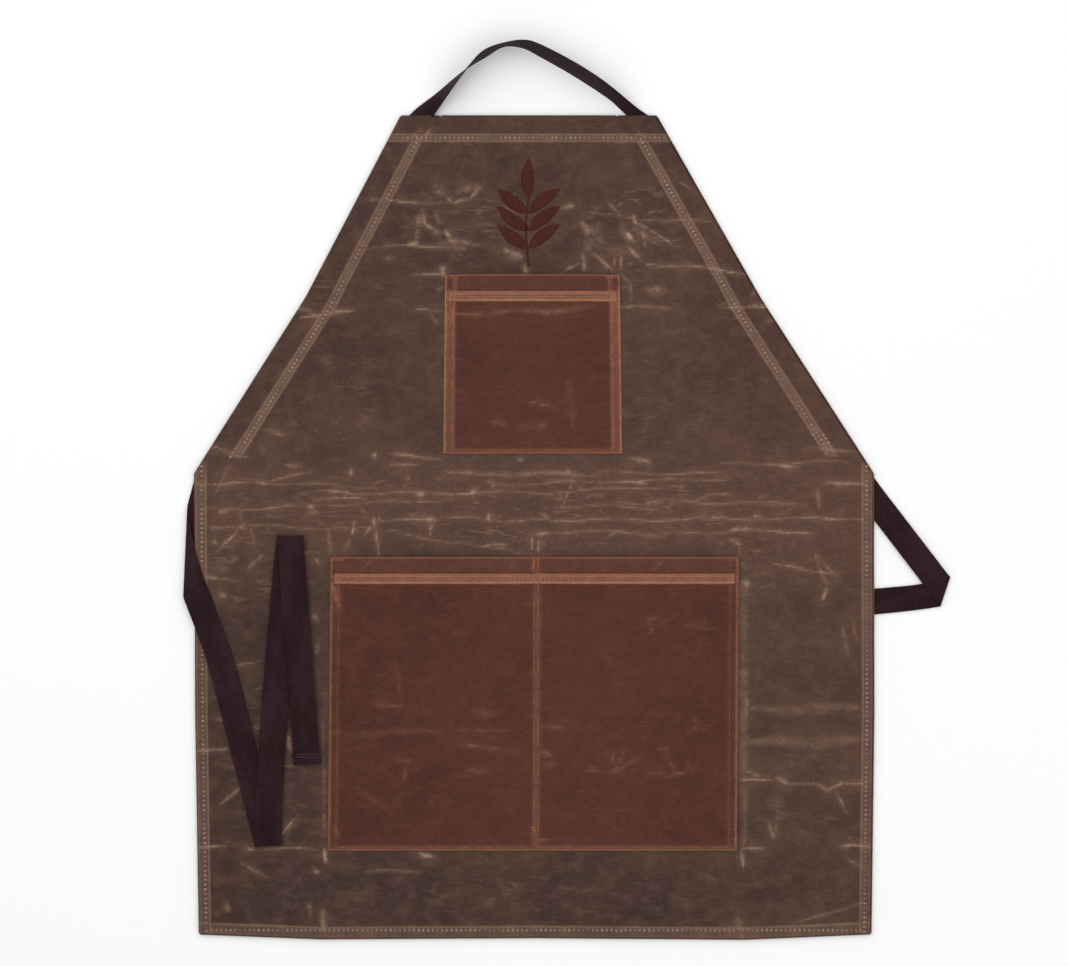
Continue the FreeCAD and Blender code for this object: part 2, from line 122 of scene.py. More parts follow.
class Look:
    """One node material, built up by calls. Its coordinates are millimetres on the cloth."""

    def __init__(self, name):
        self.material = bpy.data.materials.new(name)
        self.material.use_nodes = True
        self.tree = self.material.node_tree
        self.tree.nodes.clear()
        self.output = self.tree.nodes.new("ShaderNodeOutputMaterial")
        place = self.node("ShaderNodeAttribute", attribute_name="place")
        self.place = self.scaled(place.outputs["Vector"], (1000, 1000, 1000))

    def node(self, kind, inputs=None, **settings):
        made = self.tree.nodes.new(kind)
        for key, value in settings.items():
            setattr(made, key, value)
        for key, value in (inputs or {}).items():
            self.feed(made.inputs[key], value)
        return made

    def feed(self, socket, value):
        if isinstance(value, bpy.types.NodeSocket):
            self.tree.links.new(value, socket)
        else:
            socket.default_value = value

    def scaled(self, vector, factors):
        made = self.node("ShaderNodeVectorMath", {0: vector, 1: factors}, operation="MULTIPLY")
        return made.outputs[0]

    def math(self, operation, first, second=0.0, third=0.0, clamp=False):
        inputs = {0: first, 1: second, 2: third}
        made = self.node("ShaderNodeMath", inputs, operation=operation, use_clamp=clamp)
        return made.outputs[0]

    def times(self, first, second):
        return self.math("MULTIPLY", first, second)

    def plus(self, first, second):
        return self.math("ADD", first, second)

    def times_plus(self, first, factor, added):
        return self.math("MULTIPLY_ADD", first, factor, added)

    def ramp(self, value, low, high, to_low=0.0, to_high=1.0):
        inputs = {"Value": value, 1: low, 2: high, 3: to_low, 4: to_high}
        made = self.node("ShaderNodeMapRange", inputs, interpolation_type="SMOOTHSTEP")
        return made.outputs[0]

    def noise(self, cells, detail=2.0, rough=0.5, bend=0.0, shift=(0, 0, 0)):
        """Noise whose blotches are about cells millimetres across, from 0 to 1."""
        place = self.scaled(self.place, tuple(1 / c for c in cells))
        moved = self.node("ShaderNodeVectorMath", {0: place, 1: shift}, operation="ADD")
        inputs = {
            "Vector": moved.outputs[0],
            "Scale": 1.0,
            "Detail": detail,
            "Roughness": rough,
            "Distortion": bend,
        }
        return self.node("ShaderNodeTexNoise", inputs).outputs[0]

    def painted(self, name):
        return self.node("ShaderNodeAttribute", attribute_name=name).outputs["Fac"]

    def mix(self, share, first, second, blend="MIX"):
        made = self.node("ShaderNodeMix", data_type="RGBA", blend_type=blend)
        self.feed(made.inputs[0], share)
        self.feed(made.inputs[6], first)
        self.feed(made.inputs[7], second)
        return made.outputs[2]

    def shaded(self, colour, shade):
        """The colour made lighter or darker by a factor."""
        grey = self.node("ShaderNodeCombineColor", {0: shade, 1: shade, 2: shade}).outputs[0]
        return self.mix(1.0, colour, grey, "MULTIPLY")

    def wave(self, axis, period, shift=0.0):
        """A smooth ripple along an axis of the cloth, from -1 to 1."""
        split = self.node("ShaderNodeSeparateXYZ", {0: self.place})
        turned = self.math("MULTIPLY_ADD", split.outputs[axis], 2 * math.pi / period, shift)
        return self.math("SINE", turned)

    def raised(self, height, distance, before=None, strength=1.0):
        inputs = {"Height": height, "Distance": distance * MM, "Strength": strength}
        if before is not None:
            inputs["Normal"] = before
        return self.node("ShaderNodeBump", inputs).outputs[0]

    def finish(self, colour, roughness, normal, **constants):
        shader = self.node("ShaderNodeBsdfPrincipled")
        self.feed(shader.inputs["Base Color"], colour)
        self.feed(shader.inputs["Roughness"], roughness)
        self.feed(shader.inputs["Normal"], normal)
        for key, value in constants.items():
            shader.inputs[key.replace("_", " ")].default_value = value
        self.tree.links.new(shader.outputs[0], self.output.inputs[0])
        return self.material


def srgb(red, green, blue):
    """A colour given as a screen shows it, as linear light."""
    linear = []
    for c in (red, green, blue):
        c = c / 255
        linear.append(c / 12.92 if c <= 0.04045 else ((c + 0.055) / 1.055) ** 2.4)
    return (*linear, 1.0)


SCUFF_FLOOR = 0.36


def waxed_canvas(name, dark, plain, light, scuff, strength):
    """Waxed cotton: a fine plain weave, blotches of wax, and pale scuffs where it was creased."""
    look = Look(name)
    broad = look.noise((80, 60, 80), 3, 0.55)
    blotch = look.noise((19, 15, 19), 4, 0.6, 0.4, (7, 3, 0))
    tone = look.times_plus(broad, 0.9, look.painted("tone"))
    colour = look.mix(look.ramp(tone, 0.2, 1.0), dark, plain)
    patch = look.times(look.ramp(blotch, 0.4, 0.75), 0.5)
    colour = look.mix(patch, colour, light)

    # the slubs of the weave: long thin threads both ways, and the weave itself
    weft = look.noise((6.5, 0.9, 5), 2, 0.6, 0, (1, 9, 0))
    warp = look.noise((0.9, 6.5, 5), 2, 0.6, 0, (4, 2, 0))
    slub = look.plus(look.times(weft, 0.6), look.times(warp, 0.4))
    shade = look.ramp(slub, 0.3, 0.7, 0.8, 1.2)
    colour = look.shaded(colour, shade)

    # pale wax on the seams, and soft scuffs where the cloth was creased or rubbed
    fine = look.noise((3.4, 2.2, 3), 4, 0.62, 0.5, (5, 5, 0))
    patchy = look.noise((13, 7, 12), 3, 0.55, 0.6, (3, 8, 0))
    broken = look.times_plus(patchy, 0.55, look.times(fine, 0.45))
    band = look.times(look.painted("band"), look.ramp(broken, 0.3, 0.6, 0.6, 1.0))
    colour = look.mix(band, colour, scuff)
    ragged = look.times_plus(broken, 0.7, look.plus(look.painted("wear"), -0.35))
    core = look.times(look.ramp(ragged, SCUFF_FLOOR, 1.1), 0.62)
    spread = look.ramp(broken, 0.34, 0.62, 0.1, 0.56)
    halo = look.times(look.painted("wear"), spread)
    scuffed = look.times(look.plus(core, halo), strength)

    # faint broken lines, most of them across the cloth, and smudges where it was crumpled
    hair = look.noise((60, 7, 40), 2, 0.5, 0.7, (2, 6, 0))
    hair = look.math("ABSOLUTE", look.math("SUBTRACT", hair, 0.5))
    gate = look.ramp(look.noise((30, 14, 30), 2, 0.5, 0, (6, 6, 0)), 0.45, 0.7)
    hair = look.times(look.ramp(hair, 0.002, 0.04, 0.22, 0.0), gate)
    smudge = look.ramp(look.noise((17, 9, 12), 3, 0.55, 0.4, (8, 2, 0)), 0.55, 0.8, 0.0, 0.32)
    crumpled = look.times(look.math("MAXIMUM", hair, smudge), look.painted("crumple"))
    worn = look.math("MAXIMUM", scuffed, crumpled, clamp=True)
    colour = look.mix(worn, colour, scuff)

    weave = look.times(look.wave("X", 0.95), look.wave("Y", 0.95))
    cloth = look.plus(look.times(weave, 0.35), slub)
    normal = look.raised(cloth, 0.12)
    normal = look.raised(look.times_plus(worn, -1.0, blotch), 0.5, normal, 0.7)
    roughness = look.ramp(look.plus(blotch, worn), 0.3, 1.3, 0.5, 0.78)
    return look.finish(colour, roughness, normal, Specular_IOR_Level=0.12)


def webbing_look():
    """Dark ribbed cotton webbing with a close selvedge."""
    look = Look("webbing")
    rib = look.wave("X", 1.25)
    cord = look.wave("Y", 1.7)
    twill = look.times(rib, look.times_plus(cord, 0.35, 0.8))
    fibre = look.noise((0.8, 2.6, 2), 3, 0.6)
    broad = look.noise((60, 22, 30), 3, 0.5)
    colour = look.mix(look.ramp(broad, 0.35, 0.68), srgb(35, 17, 20), srgb(48, 27, 32))
    bars = look.noise((1.7, 13, 5), 3, 0.6, 0.2, (6, 1, 0))
    mixed = look.plus(fibre, look.times_plus(bars, 1.3, -0.65))
    shade = look.ramp(look.times_plus(twill, 0.3, mixed), 0.2, 0.9, 0.68, 1.34)
    colour = look.shaded(colour, shade)
    lint = look.ramp(look.noise((5, 1.4, 2), 2, 0.5, 0.5, (3, 3, 0)), 0.74, 0.84, 0.0, 0.22)
    colour = look.mix(lint, colour, srgb(105, 90, 88))
    normal = look.raised(look.times_plus(fibre, 0.4, twill), 0.16)
    return look.finish(colour, 0.85, normal, Specular_IOR_Level=0.1, Sheen_Weight=0.04)


def thread_look(name, dark, light):
    """Spun sewing thread, with its twist across each stitch."""
    look = Look(name)
    worn = look.noise((24, 24, 24), 3, 0.6, 0.4)
    colour = look.mix(look.ramp(worn, 0.32, 0.66), dark, light)
    twist = look.wave("Z", 0.55)
    fuzz = look.noise((0.5, 0.5, 0.5), 2, 0.6)
    shade = look.ramp(look.times_plus(twist, 0.25, fuzz), 0.2, 0.8, 0.8, 1.15)
    colour = look.shaded(colour, shade)
    normal = look.raised(twist, 0.06)
    return look.finish(colour, 0.7, normal, Specular_IOR_Level=0.3)


def ink_look():
    """Matt brown ink that has soaked into the weave and cracked a little."""
    look = Look("ink")
    weft = look.noise((5, 0.9, 5), 2, 0.6)
    warp = look.noise((0.9, 5, 5), 2, 0.6, 0, (4, 2, 0))
    slub = look.times_plus(warp, 0.5, look.times(weft, 0.5))
    cracks = look.ramp(look.noise((9, 7, 9), 5, 0.7, 0.8), 0.6, 0.72, 0.0, 0.5)
    colour = look.mix(look.ramp(slub, 0.35, 0.65), srgb(58, 26, 18), srgb(72, 35, 26))
    colour = look.mix(cracks, colour, srgb(92, 62, 48))
    normal = look.raised(slub, 0.12)
    return look.finish(colour, 0.72, normal, Specular_IOR_Level=0.1)


CANVAS = waxed_canvas(
    "canvas", srgb(57, 39, 34), srgb(81, 58, 47), srgb(93, 69, 57), srgb(166, 135, 112), 0.96
)
POCKET_CANVAS = waxed_canvas(
    "pocket_canvas", srgb(64, 31, 23), srgb(78, 42, 32), srgb(88, 49, 39), srgb(172, 119, 93), 0.6
)
WEBBING_LOOK = webbing_look()
TAN_THREAD = thread_look("tan_thread", srgb(108, 86, 72), srgb(152, 124, 107))
BAND_THREAD = thread_look("band_thread", srgb(56, 31, 25), srgb(88, 54, 43))
ORANGE_THREAD = thread_look("orange_thread", srgb(118, 66, 44), srgb(166, 106, 76))
DARK_THREAD = thread_look("dark_thread", srgb(52, 38, 40), srgb(86, 68, 68))
INK = ink_look()


# ---------------------------------------------------------------- making pieces


def new_piece(name, points, faces, material, place, painted=None):
    """A mesh object from points in millimetres, with where they lie on the cloth."""
    mesh = bpy.data.meshes.new(name)
    mesh.from_pydata((np.asarray(points) * MM).tolist(), [], [tuple(f) for f in faces])
    values = mesh.attributes.new("place", "FLOAT_VECTOR", "POINT")
    values.data.foreach_set("vector", (np.asarray(place, np.float32) * MM).ravel())
    for key, numbers in (painted or {}).items():
        values = mesh.attributes.new(key, "FLOAT", "POINT")
        values.data.foreach_set("value", np.asarray(numbers, np.float32).ravel())
    mesh.materials.append(material)
    mesh.shade_smooth()
    piece = bpy.data.objects.new(name, mesh)
    bpy.context.scene.collection.objects.link(piece)
    return piece


def apply_modifiers(piece):
    bpy.context.view_layer.update()
    graph = bpy.context.evaluated_depsgraph_get()
    mesh = bpy.data.meshes.new_from_object(piece.evaluated_get(graph))
    piece.modifiers.clear()
    piece.data = mesh
    mesh.name = piece.name


def thicken(piece, thick, edge=0.0):
    """Gives a sheet its thickness, half to each side, and rounds its cut edges a little."""
    solid = piece.modifiers.new("thickness", "SOLIDIFY")
    solid.thickness = thick * MM
    solid.offset = 0
    solid.use_even_offset = False
    if edge:
        bevel = piece.modifiers.new("edge", "BEVEL")
        bevel.width = edge * MM
        bevel.segments = 2
        bevel.limit_method = "ANGLE"
        bevel.angle_limit = math.radians(60)
    apply_modifiers(piece)


def grid_faces(rows, columns, start=0):
    """The quads of a grid of points whose rows run one after another."""
    corner = start + np.arange(rows * columns).reshape(rows, columns)
    low, right = corner[:-1, :-1].ravel(), corner[:-1, 1:].ravel()
    far, left = corner[1:, 1:].ravel(), corner[1:, :-1].ravel()
    return np.stack([low, right, far, left], axis=1)


# ---------------------------------------------------------------- camera


VIEW_WIDTH = 1025.3
VIEW_MIDDLE_Y = 41.8
CAMERA_HEIGHT = 3000.0
CLOTH_FRONT_Z = 3.1


def make_camera():
    data = bpy.data.cameras.new("camera")
    data.sensor_width = 36
    data.lens = data.sensor_width * CAMERA_HEIGHT / VIEW_WIDTH
    camera = bpy.data.objects.new("camera", data)
    camera.location = (0, VIEW_MIDDLE_Y * MM, (CAMERA_HEIGHT + CLOTH_FRONT_Z) * MM)
    bpy.context.scene.collection.objects.link(camera)
    bpy.context.scene.camera = camera


make_camera()


# ---------------------------------------------------------------- webbing


def spline_points(controls, steps):
    """Points along the NURBS spline that has these control points, in millimetres."""
    curve = bpy.data.curves.new("route", "CURVE")
    curve.dimensions = "3D"
    curve.resolution_u = steps
    spline = curve.splines.new("NURBS")
    spline.points.add(len(controls) - 1)
    for point, place in zip(spline.points, controls):
        point.co = (*[c * MM for c in place], 1)
    spline.order_u = 3
    spline.use_endpoint_u = True
    holder = bpy.data.objects.new("route", curve)
    mesh = bpy.data.meshes.new_from_object(holder)
    line = np.array([v.co for v in mesh.vertices], float) / MM
    bpy.data.meshes.remove(mesh)
    bpy.data.objects.remove(holder)
    bpy.data.curves.remove(curve)
    return line


class Fold:
    """A fold of flat webbing: what lies beyond a crease line is turned back over or under."""

    def __init__(self, middle, outward, radius, rise=1):
        self.outward = np.array([*outward, 0.0])
        self.outward /= np.linalg.norm(self.outward)
        self.radius = radius
        self.rise = rise
        self.start = np.array([*middle, 0.0]) - self.outward * radius

    def beyond(self, points):
        return (points - self.start) @ self.outward

    def apply(self, points, mask=None):
        s = self.beyond(points)
        r = self.radius
        bent = np.clip(s / r, 0, math.pi)
        flat = np.maximum(s - math.pi * r, 0)
        along = np.where(s > 0, r * np.sin(bent) - flat, s)
        lift = np.where(s > 0, self.rise * r * (1 - np.cos(bent)), 0)
        if mask is not None:
            along = np.where(mask, along, s)
            lift = np.where(mask, lift, 0)
        moved = points + (along - s)[:, None] * self.outward
        moved[:, 2] += lift
        return moved

    def undo(self, point):
        """Where a point that lies beyond the fold was before the webbing was folded."""
        point = np.array(point, float)
        away = (point - self.start) @ self.outward
        s = math.pi * self.radius - away
        flat = point + (s - away) * self.outward
        flat[2] -= 2 * self.rise * self.radius
        return flat


def square_to(direction, half=12.7):
    """Half the width of webbing that runs in this direction, at right angles to it."""
    d = np.array(direction, float)
    d /= np.linalg.norm(d)
    return np.array([-d[1], d[0], 0]) * half


def webbing(name, stations, folds=(), across=12, steps=12, begin=0.0, side=1):
    """Webbing from stations of (middle, half of its width as a vector, folds passed so far).

    Its middle line and its edge are NURBS splines of the stations, laid out before it is folded.
    Its weave starts at begin along the whole tie, so that it runs on from the piece before it.
    """
    middles, edges = [], []
    for middle, half, passed in stations:
        centre = np.array(middle, float)
        edge = centre + np.array(half, float)
        for fold in reversed(folds[:passed]):
            centre, edge = fold.undo(centre), fold.undo(edge)
        middles.append(centre)
        edges.append(edge)
    line = spline_points(middles, steps)
    edge = spline_points(edges, steps)
    along = np.concatenate([[0], np.cumsum(np.linalg.norm(np.diff(line, axis=0), axis=1))])
    shares = np.linspace(-1, 1, across + 1)
    rows = len(line)
    points = (line[:, None, :] + (edge - line)[:, None, :] * shares[None, :, None]).reshape(-1, 3)
    half = np.linalg.norm(edge - line, axis=1)
    place = np.zeros((rows, across + 1, 3))
    place[:, :, 0] = begin + along[:, None]
    place[:, :, 1] = side * half[:, None] * shares[None, :]
    for number, fold in enumerate(folds):
        late = None if number == 0 else points[:, 2] > late_z(folds, number, stations[0][0][2])
        late_line = None if number == 0 else line[:, 2] > late_z(folds, number, stations[0][0][2])
        points = fold.apply(points, late)
        line = fold.apply(line, late_line)
    faces = grid_faces(rows, across + 1)
    piece = new_piece(name, points, faces, WEBBING_LOOK, place.reshape(-1, 3))
    thicken(piece, WEBBING, 0.25)
    return piece, line * MM


def late_z(folds, number, start_z):
    """A height just under the layer that the folds before this one lead to."""
    risen = sum(2 * f.rise * f.radius for f in folds[:number])
    return start_z + risen - abs(folds[number - 1].radius)


def length_of(line):
    return float(np.linalg.norm(np.diff(line, axis=0), axis=1).sum())


def across_waist(piece):
    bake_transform(piece)


UNDER_Z = 0.6
RUN_ONE_Z = 4.15
RUN_TWO_Z = 5.45
RUN_THREE_Z = 6.75

# the left tie, whose three runs are parted half way between folds, and roll over the side edge
run_one = np.array([45.7, -178.8])
run_two = np.array([21.0, 297.0])
run_three = np.array([16.6, -218.5])
unit_one, unit_two, unit_three = (r / np.linalg.norm(r) for r in (run_one, run_two, run_three))
part_one = (-277.85, -216.6)
lower_fold = np.array([-255.0, -306.0])
part_two = (-247.6, -157.5)
upper_fold = np.array([-234.0, -9.0])
left_end = np.array([-217.4, -227.5])


def near(middle, unit, gap, z):
    return (middle[0] + unit[0] * gap, middle[1] + unit[1] * gap, z)


def crease_half(outward, direction, half=12.7):
    """Half of a crease line across webbing that runs in this direction."""
    n = np.array(outward, float) / np.linalg.norm(outward)
    crease = np.array([-n[1], n[0]])
    d = np.array(direction, float) / np.linalg.norm(direction)
    reach = half / abs(crease[0] * d[1] - crease[1] * d[0])
    return np.array([*(crease * reach), 0])


roll = Fold((-334.3, -20), (-1, 0.045), (RUN_ONE_Z - UNDER_Z) / 2)
first_stations = [
    ((-312, 50.8, UNDER_Z + 0.5), square_to((-0.35, -0.94)), 0),
    ((-320, 18, UNDER_Z), square_to((-0.3, -0.95)), 0),
    ((-337.5, -38, UNDER_Z), square_to((-0.42, -0.91)), 0),
    ((-317.5, -82, RUN_ONE_Z), -square_to((0.36, -0.93)), 1),
    ((-300.7, -127.2, RUN_ONE_Z), -square_to(unit_one), 1),
    ((-289.3, -171.9, RUN_ONE_Z), -square_to(unit_one), 1),
    ((*part_one, RUN_ONE_Z), -square_to(unit_one), 1),
]
wrap, wrap_path = webbing("left_tie_wrap_strap", first_stations, [roll], across=30, steps=14)

low_out = unit_one - unit_two
low_fold = Fold(lower_fold, low_out, (RUN_TWO_Z - RUN_ONE_Z) / 2)
low_half = crease_half(low_out, unit_one)
low_half *= np.sign(low_half @ square_to(unit_one))
second_stations = [
    ((*part_one, RUN_ONE_Z), square_to(unit_one), 0),
    (near(lower_fold, unit_one, -45, RUN_ONE_Z), square_to(unit_one), 0),
    (near(lower_fold, unit_one, -2, RUN_ONE_Z), low_half, 0),
    (near(lower_fold, unit_two, 2, RUN_TWO_Z), low_half, 1),
    ((-254.6, -261.1, RUN_TWO_Z), -square_to(unit_two), 1),
    ((*part_two, RUN_TWO_Z), -square_to(unit_two), 1),
]
before_middle = length_of(wrap_path) / MM
middle_run, middle_path = webbing(
    "left_tie_lower_fold_strap", second_stations, [low_fold], begin=before_middle, side=-1
)

up_out = unit_two - unit_three
up_fold = Fold(upper_fold, up_out, (RUN_THREE_Z - RUN_TWO_Z) / 2)
end_fold = Fold(left_end, unit_three, 0.5)
up_half = crease_half(up_out, unit_two)
up_half *= np.sign(up_half @ square_to(unit_two))
END_Z = RUN_THREE_Z + 1.0
third_stations = [
    ((*part_two, RUN_TWO_Z), square_to(unit_two), 0),
    ((-238.9, -53.9, RUN_TWO_Z), square_to(unit_two), 0),
    (near(upper_fold, unit_two, -2, RUN_TWO_Z), up_half, 0),
    (near(upper_fold, unit_three, 2, RUN_THREE_Z), up_half, 1),
    (near(upper_fold, unit_three, 45, RUN_THREE_Z), -square_to(unit_three), 1),
    (near(left_end, unit_three, -45, RUN_THREE_Z), -square_to(unit_three), 1),
    (near(left_end, unit_three, -14, RUN_THREE_Z), -square_to(unit_three, 12.5), 1),
    (near(left_end, unit_three, -1.5, RUN_THREE_Z), -square_to(unit_three, 13.4), 1),
    (near(left_end, unit_three, -1.5, END_Z), -square_to(unit_three, 13.4), 2),
    (near(left_end, unit_three, -11.5, END_Z), -square_to(unit_three, 13.6), 2),
]
before_end = before_middle + length_of(middle_path) / MM
end_run, end_path = webbing(
    "left_tie_end_strap", third_stations, [up_fold, end_fold], begin=before_end
)

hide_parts("left_tie_root", "left_tie_wrap")
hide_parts("left_tie_run_one", "left_tie_run_two")
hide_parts("left_tie_run_three", "left_tie_end_hem")
# it starts above the top face of the root, which stays still under the hem
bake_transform(wrap)
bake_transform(middle_run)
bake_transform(end_run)

# the webbing inside the casings, which shows only at their open ends
CASING_Z = 1.45


def casing_stations(side):
    xs, sign = (LEFT_X, 1) if side == "left" else (RIGHT_X, -1)
    half = (12.2, 0, 0)
    stations = [((xs[0] + CASING_MIDDLE * sign, EDGE_Y[0] - 1, CASING_Z), half, 0)]
    for y in (EDGE_Y[1] + 20, EDGE_Y[1] - 20):
        stations.append(((float(edge_x(y, xs)) + CASING_MIDDLE * sign, y, CASING_Z), half, 0))
    stations.append(((xs[2] + CASING_MIDDLE * sign, WAIST_Y, CASING_Z - 0.3), half, 0))
    return stations


inside = webbing("left_casing_strap", casing_stations("left"), across=4)[0]
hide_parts("left_casing_webbing")
across_waist(inside)

# the right tie runs out past the side edge, is creased, and goes back under the cloth
OUTER_Z = 2.2
RIGHT_HALF = 12.3
outer_unit = np.array([0.6076, -0.7942])
part_right = (360.1, -17.4)
crease_middle = np.array([394.7, -62.6])
crease_out = np.array([0.9487, -0.3162])
root_stations = casing_stations("right") + [
    ((317, 39.5, UNDER_Z), square_to(outer_unit, RIGHT_HALF), 0),
    ((326, 27.2, UNDER_Z), square_to(outer_unit, RIGHT_HALF), 0),
    ((343, 5, OUTER_Z - 0.4), square_to(outer_unit, RIGHT_HALF), 0),
    ((*part_right, OUTER_Z), square_to(outer_unit, RIGHT_HALF), 0),
]
outer_run, outer_path = webbing("right_tie_outer_strap", root_stations, across=8)
right_crease = Fold(crease_middle, crease_out, (OUTER_Z - UNDER_Z) / 2, -1)
right_half = crease_half(crease_out, outer_unit, RIGHT_HALF)
right_half *= np.sign(right_half @ square_to(outer_unit))
tail_end = np.array([-229.0, -121.0])
tail_unit = np.array([-0.9962, -0.0876])
hidden_end = Fold(tail_end, tail_unit, 0.4)
tail_stations = [
    ((*part_right, OUTER_Z), square_to(outer_unit, RIGHT_HALF), 0),
    (near(crease_middle, outer_unit, -22, OUTER_Z), square_to(outer_unit, RIGHT_HALF), 0),
    (near(crease_middle, outer_unit, -2.5, OUTER_Z), right_half, 0),
    (near(crease_middle, (-0.97, -0.24), 2.5, UNDER_Z), right_half, 1),
    ((373, -67.6, UNDER_Z), -square_to((-0.985, -0.17), 11.9), 1),
    ((345, -70.6, UNDER_Z), -square_to((-0.994, -0.11), 12.3), 1),
    ((250, -79.0, UNDER_Z), -square_to(tail_unit), 1),
    ((60, -95.7, UNDER_Z), -square_to(tail_unit), 1),
    ((-120, -111.5, UNDER_Z), -square_to(tail_unit), 1),
    (near(tail_end, tail_unit, -1.5, UNDER_Z), -square_to(tail_unit), 1),
    (near(tail_end, tail_unit, -1.5, UNDER_Z + 0.8), -square_to(tail_unit), 2),
    (near(tail_end, tail_unit, -11.5, UNDER_Z + 0.8), -square_to(tail_unit), 2),
]
before_tail = length_of(outer_path) / MM
tail_folds = [right_crease, hidden_end]
tail, tail_path = webbing(
    "right_tie_tail_strap", tail_stations, tail_folds, across=14, begin=before_tail
)
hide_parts("right_tie_root", "right_casing_webbing")
across_waist(outer_run)
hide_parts("right_tie_tail", "right_tie_end_hem")
# the blend leans along x as well, so that the doubled hem at the far end goes with the tail
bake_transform(tail)

# the neck loop: its feet lie flat in the casings, and its crown stands on its edge
loop_stations = [
    ((-116, 384, 1.5), (8.4, -6.0, 0.0), 0),
    ((-109, 393, 1.6), (6.8, -6.2, 0.0), 0),
    ((-101.5, 400.6, 2.2), (5.7, -5.5, 1.2), 0),
    ((-90.5, 411.2, 6.6), (4.0, -3.9, 5.9), 0),
    ((-78.5, 424.2, 11.6), (2.5, -2.7, 11.1), 0),
    ((-61.5, 441.6, 12.9), (0.5, -0.7, 12.4), 0),
    ((-47, 453.2, 12.8), (-1.2, 2.2, 12.2), 0),
    ((-29, 462.2, 12.9), (0.2, -0.6, 12.4), 0),
    ((-9, 462.6, 12.8), (0.6, 2.4, 12.2), 0),
    ((5, 456.4, 12.6), (1.7, 3.6, 11.9), 0),
    ((37, 439.2, 12.4), (2.2, 3.9, 11.7), 0),
    ((62, 423.2, 12.2), (2.2, 3.9, 11.5), 0),
    ((76.7, 412.6, 10.4), (2.5, 3.1, 9.8), 0),
    ((86.5, 404.4, 6.2), (3.2, 3.9, 5.3), 0),
    ((94, 398.4, 2.3), (3.7, 4.6, 1.3), 0),
    ((101.5, 392, 1.5), (4.6, 5.2, 0.0), 0),
    ((110, 384, 1.5), (7.0, 5.8, 0.0), 0),
]
loop, loop_path = webbing("neck_loop_strap", loop_stations, across=10, steps=12)
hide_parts("neck_loop")
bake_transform(loop)


# ---------------------------------------------------------------- the main cloth


WAVES = [
    (random.Random(4 + i).uniform(90, 300), random.Random(40 + i).uniform(0, 6.28)) for i in range(6)
]
CREASES_ACROSS = (
    (309, -210, 190, 0.3), (268, -230, 250, 0.35), (208, -150, 290, 0.45), (42.7, -320, 322, 0.8),
    (25, -300, 320, 0.5), (6, -310, 180, 0.5), (-18, -300, 320, 0.45), (-214, -320, -200, 0.45),
    (-243, 200, 322, 0.55), (-308, -322, 322, 0.4),
)
CREASES_ALONG = ((-196, -392, 60, 0.5), (202.6, -392, 215, 0.5))


def lift(x, y):
    """How far the cloth stands off its flat height, from soft waves, old folds, hems and ties."""
    (a, p), (b, q), (c, r), (d, s), (e, t), (f, u) = WAVES
    z = 0.22 * np.sin(x / a * 6.28 + p + np.sin(y / b * 4 + q))
    z = z + 0.2 * np.sin(y / c * 6.28 + r + np.sin(x / d * 4 + s))
    z = z + 0.1 * np.sin((x + y) / e * 8 + t) * np.sin((x - y) / f * 8 + u)
    for at, first, last, high in CREASES_ACROSS:
        reach = smooth((x - first) / 30) * smooth((last - x) / 30)
        z = z + high * reach * bump_at(y + 2 * np.sin(x / 47 + at), at, 4.5)
    for at, first, last, high in CREASES_ALONG:
        reach = smooth((y - first) / 30) * smooth((last - y) / 30)
        z = z + high * reach * bump_at(x + 1.6 * np.sin(y / 41 + at), at, 4.5)
    left, right = x - edge_x(y, LEFT_X), edge_x(y, RIGHT_X) - x
    rim, down, up = from_edges(x, y), HALF_LENGTH - y, y + HALF_LENGTH
    turned = 1 - smooth((rim - np.where(y > WAIST_Y, 29.5, HEM_RIDGE) + 0.6) / 1.8)
    turned = np.maximum(turned, 1 - smooth((down - TOP_RIDGES[1] + 0.6) / 1.8))
    turned = np.maximum(turned, 1 - smooth((up - HEM_RIDGE + 0.6) / 1.8))
    z = z + 0.5 * ridge_share(x, y)
    z = z * (1 - 0.75 * turned) + 0.4 * turned - 0.1
    z = z + 0.75 * tie_under(left, y, -6, 46) + 0.75 * tie_under(right, y, 5, 46)
    return z + 0.5 * tie_under(right, y, -84, -60)


def tie_under(from_edge, y, low, high):
    """1 over a tie that passes under a side hem between two heights, and 0 away from it."""
    return smooth((y - low) / 9) * smooth((high - y) / 9) * (1 - smooth((from_edge - 9) / 22))


def raised_hem(side, y):
    """How far a side hem's underside is lifted to let a tie pass, in millimetres."""
    if side == "left":
        return 1.35 * smooth((y + 30) / 7) * smooth((62 - y) / 9)
    upper = smooth((y + 8) / 7) * smooth((62 - y) / 9)
    return 1.35 * np.maximum(upper, smooth((y + 96) / 8) * smooth((-49 - y) / 8))


def low_edge_drop(x, y):
    """The bottom edge hangs lower where two old folds run down to it, and its corners lift."""
    drop = np.interp(x, (-HALF_WIDTH, -204, 0, 203, HALF_WIDTH), (-3.2, 1.6, 0.4, 2.0, -3.3))
    return drop * smooth((-300 - y) / 90)


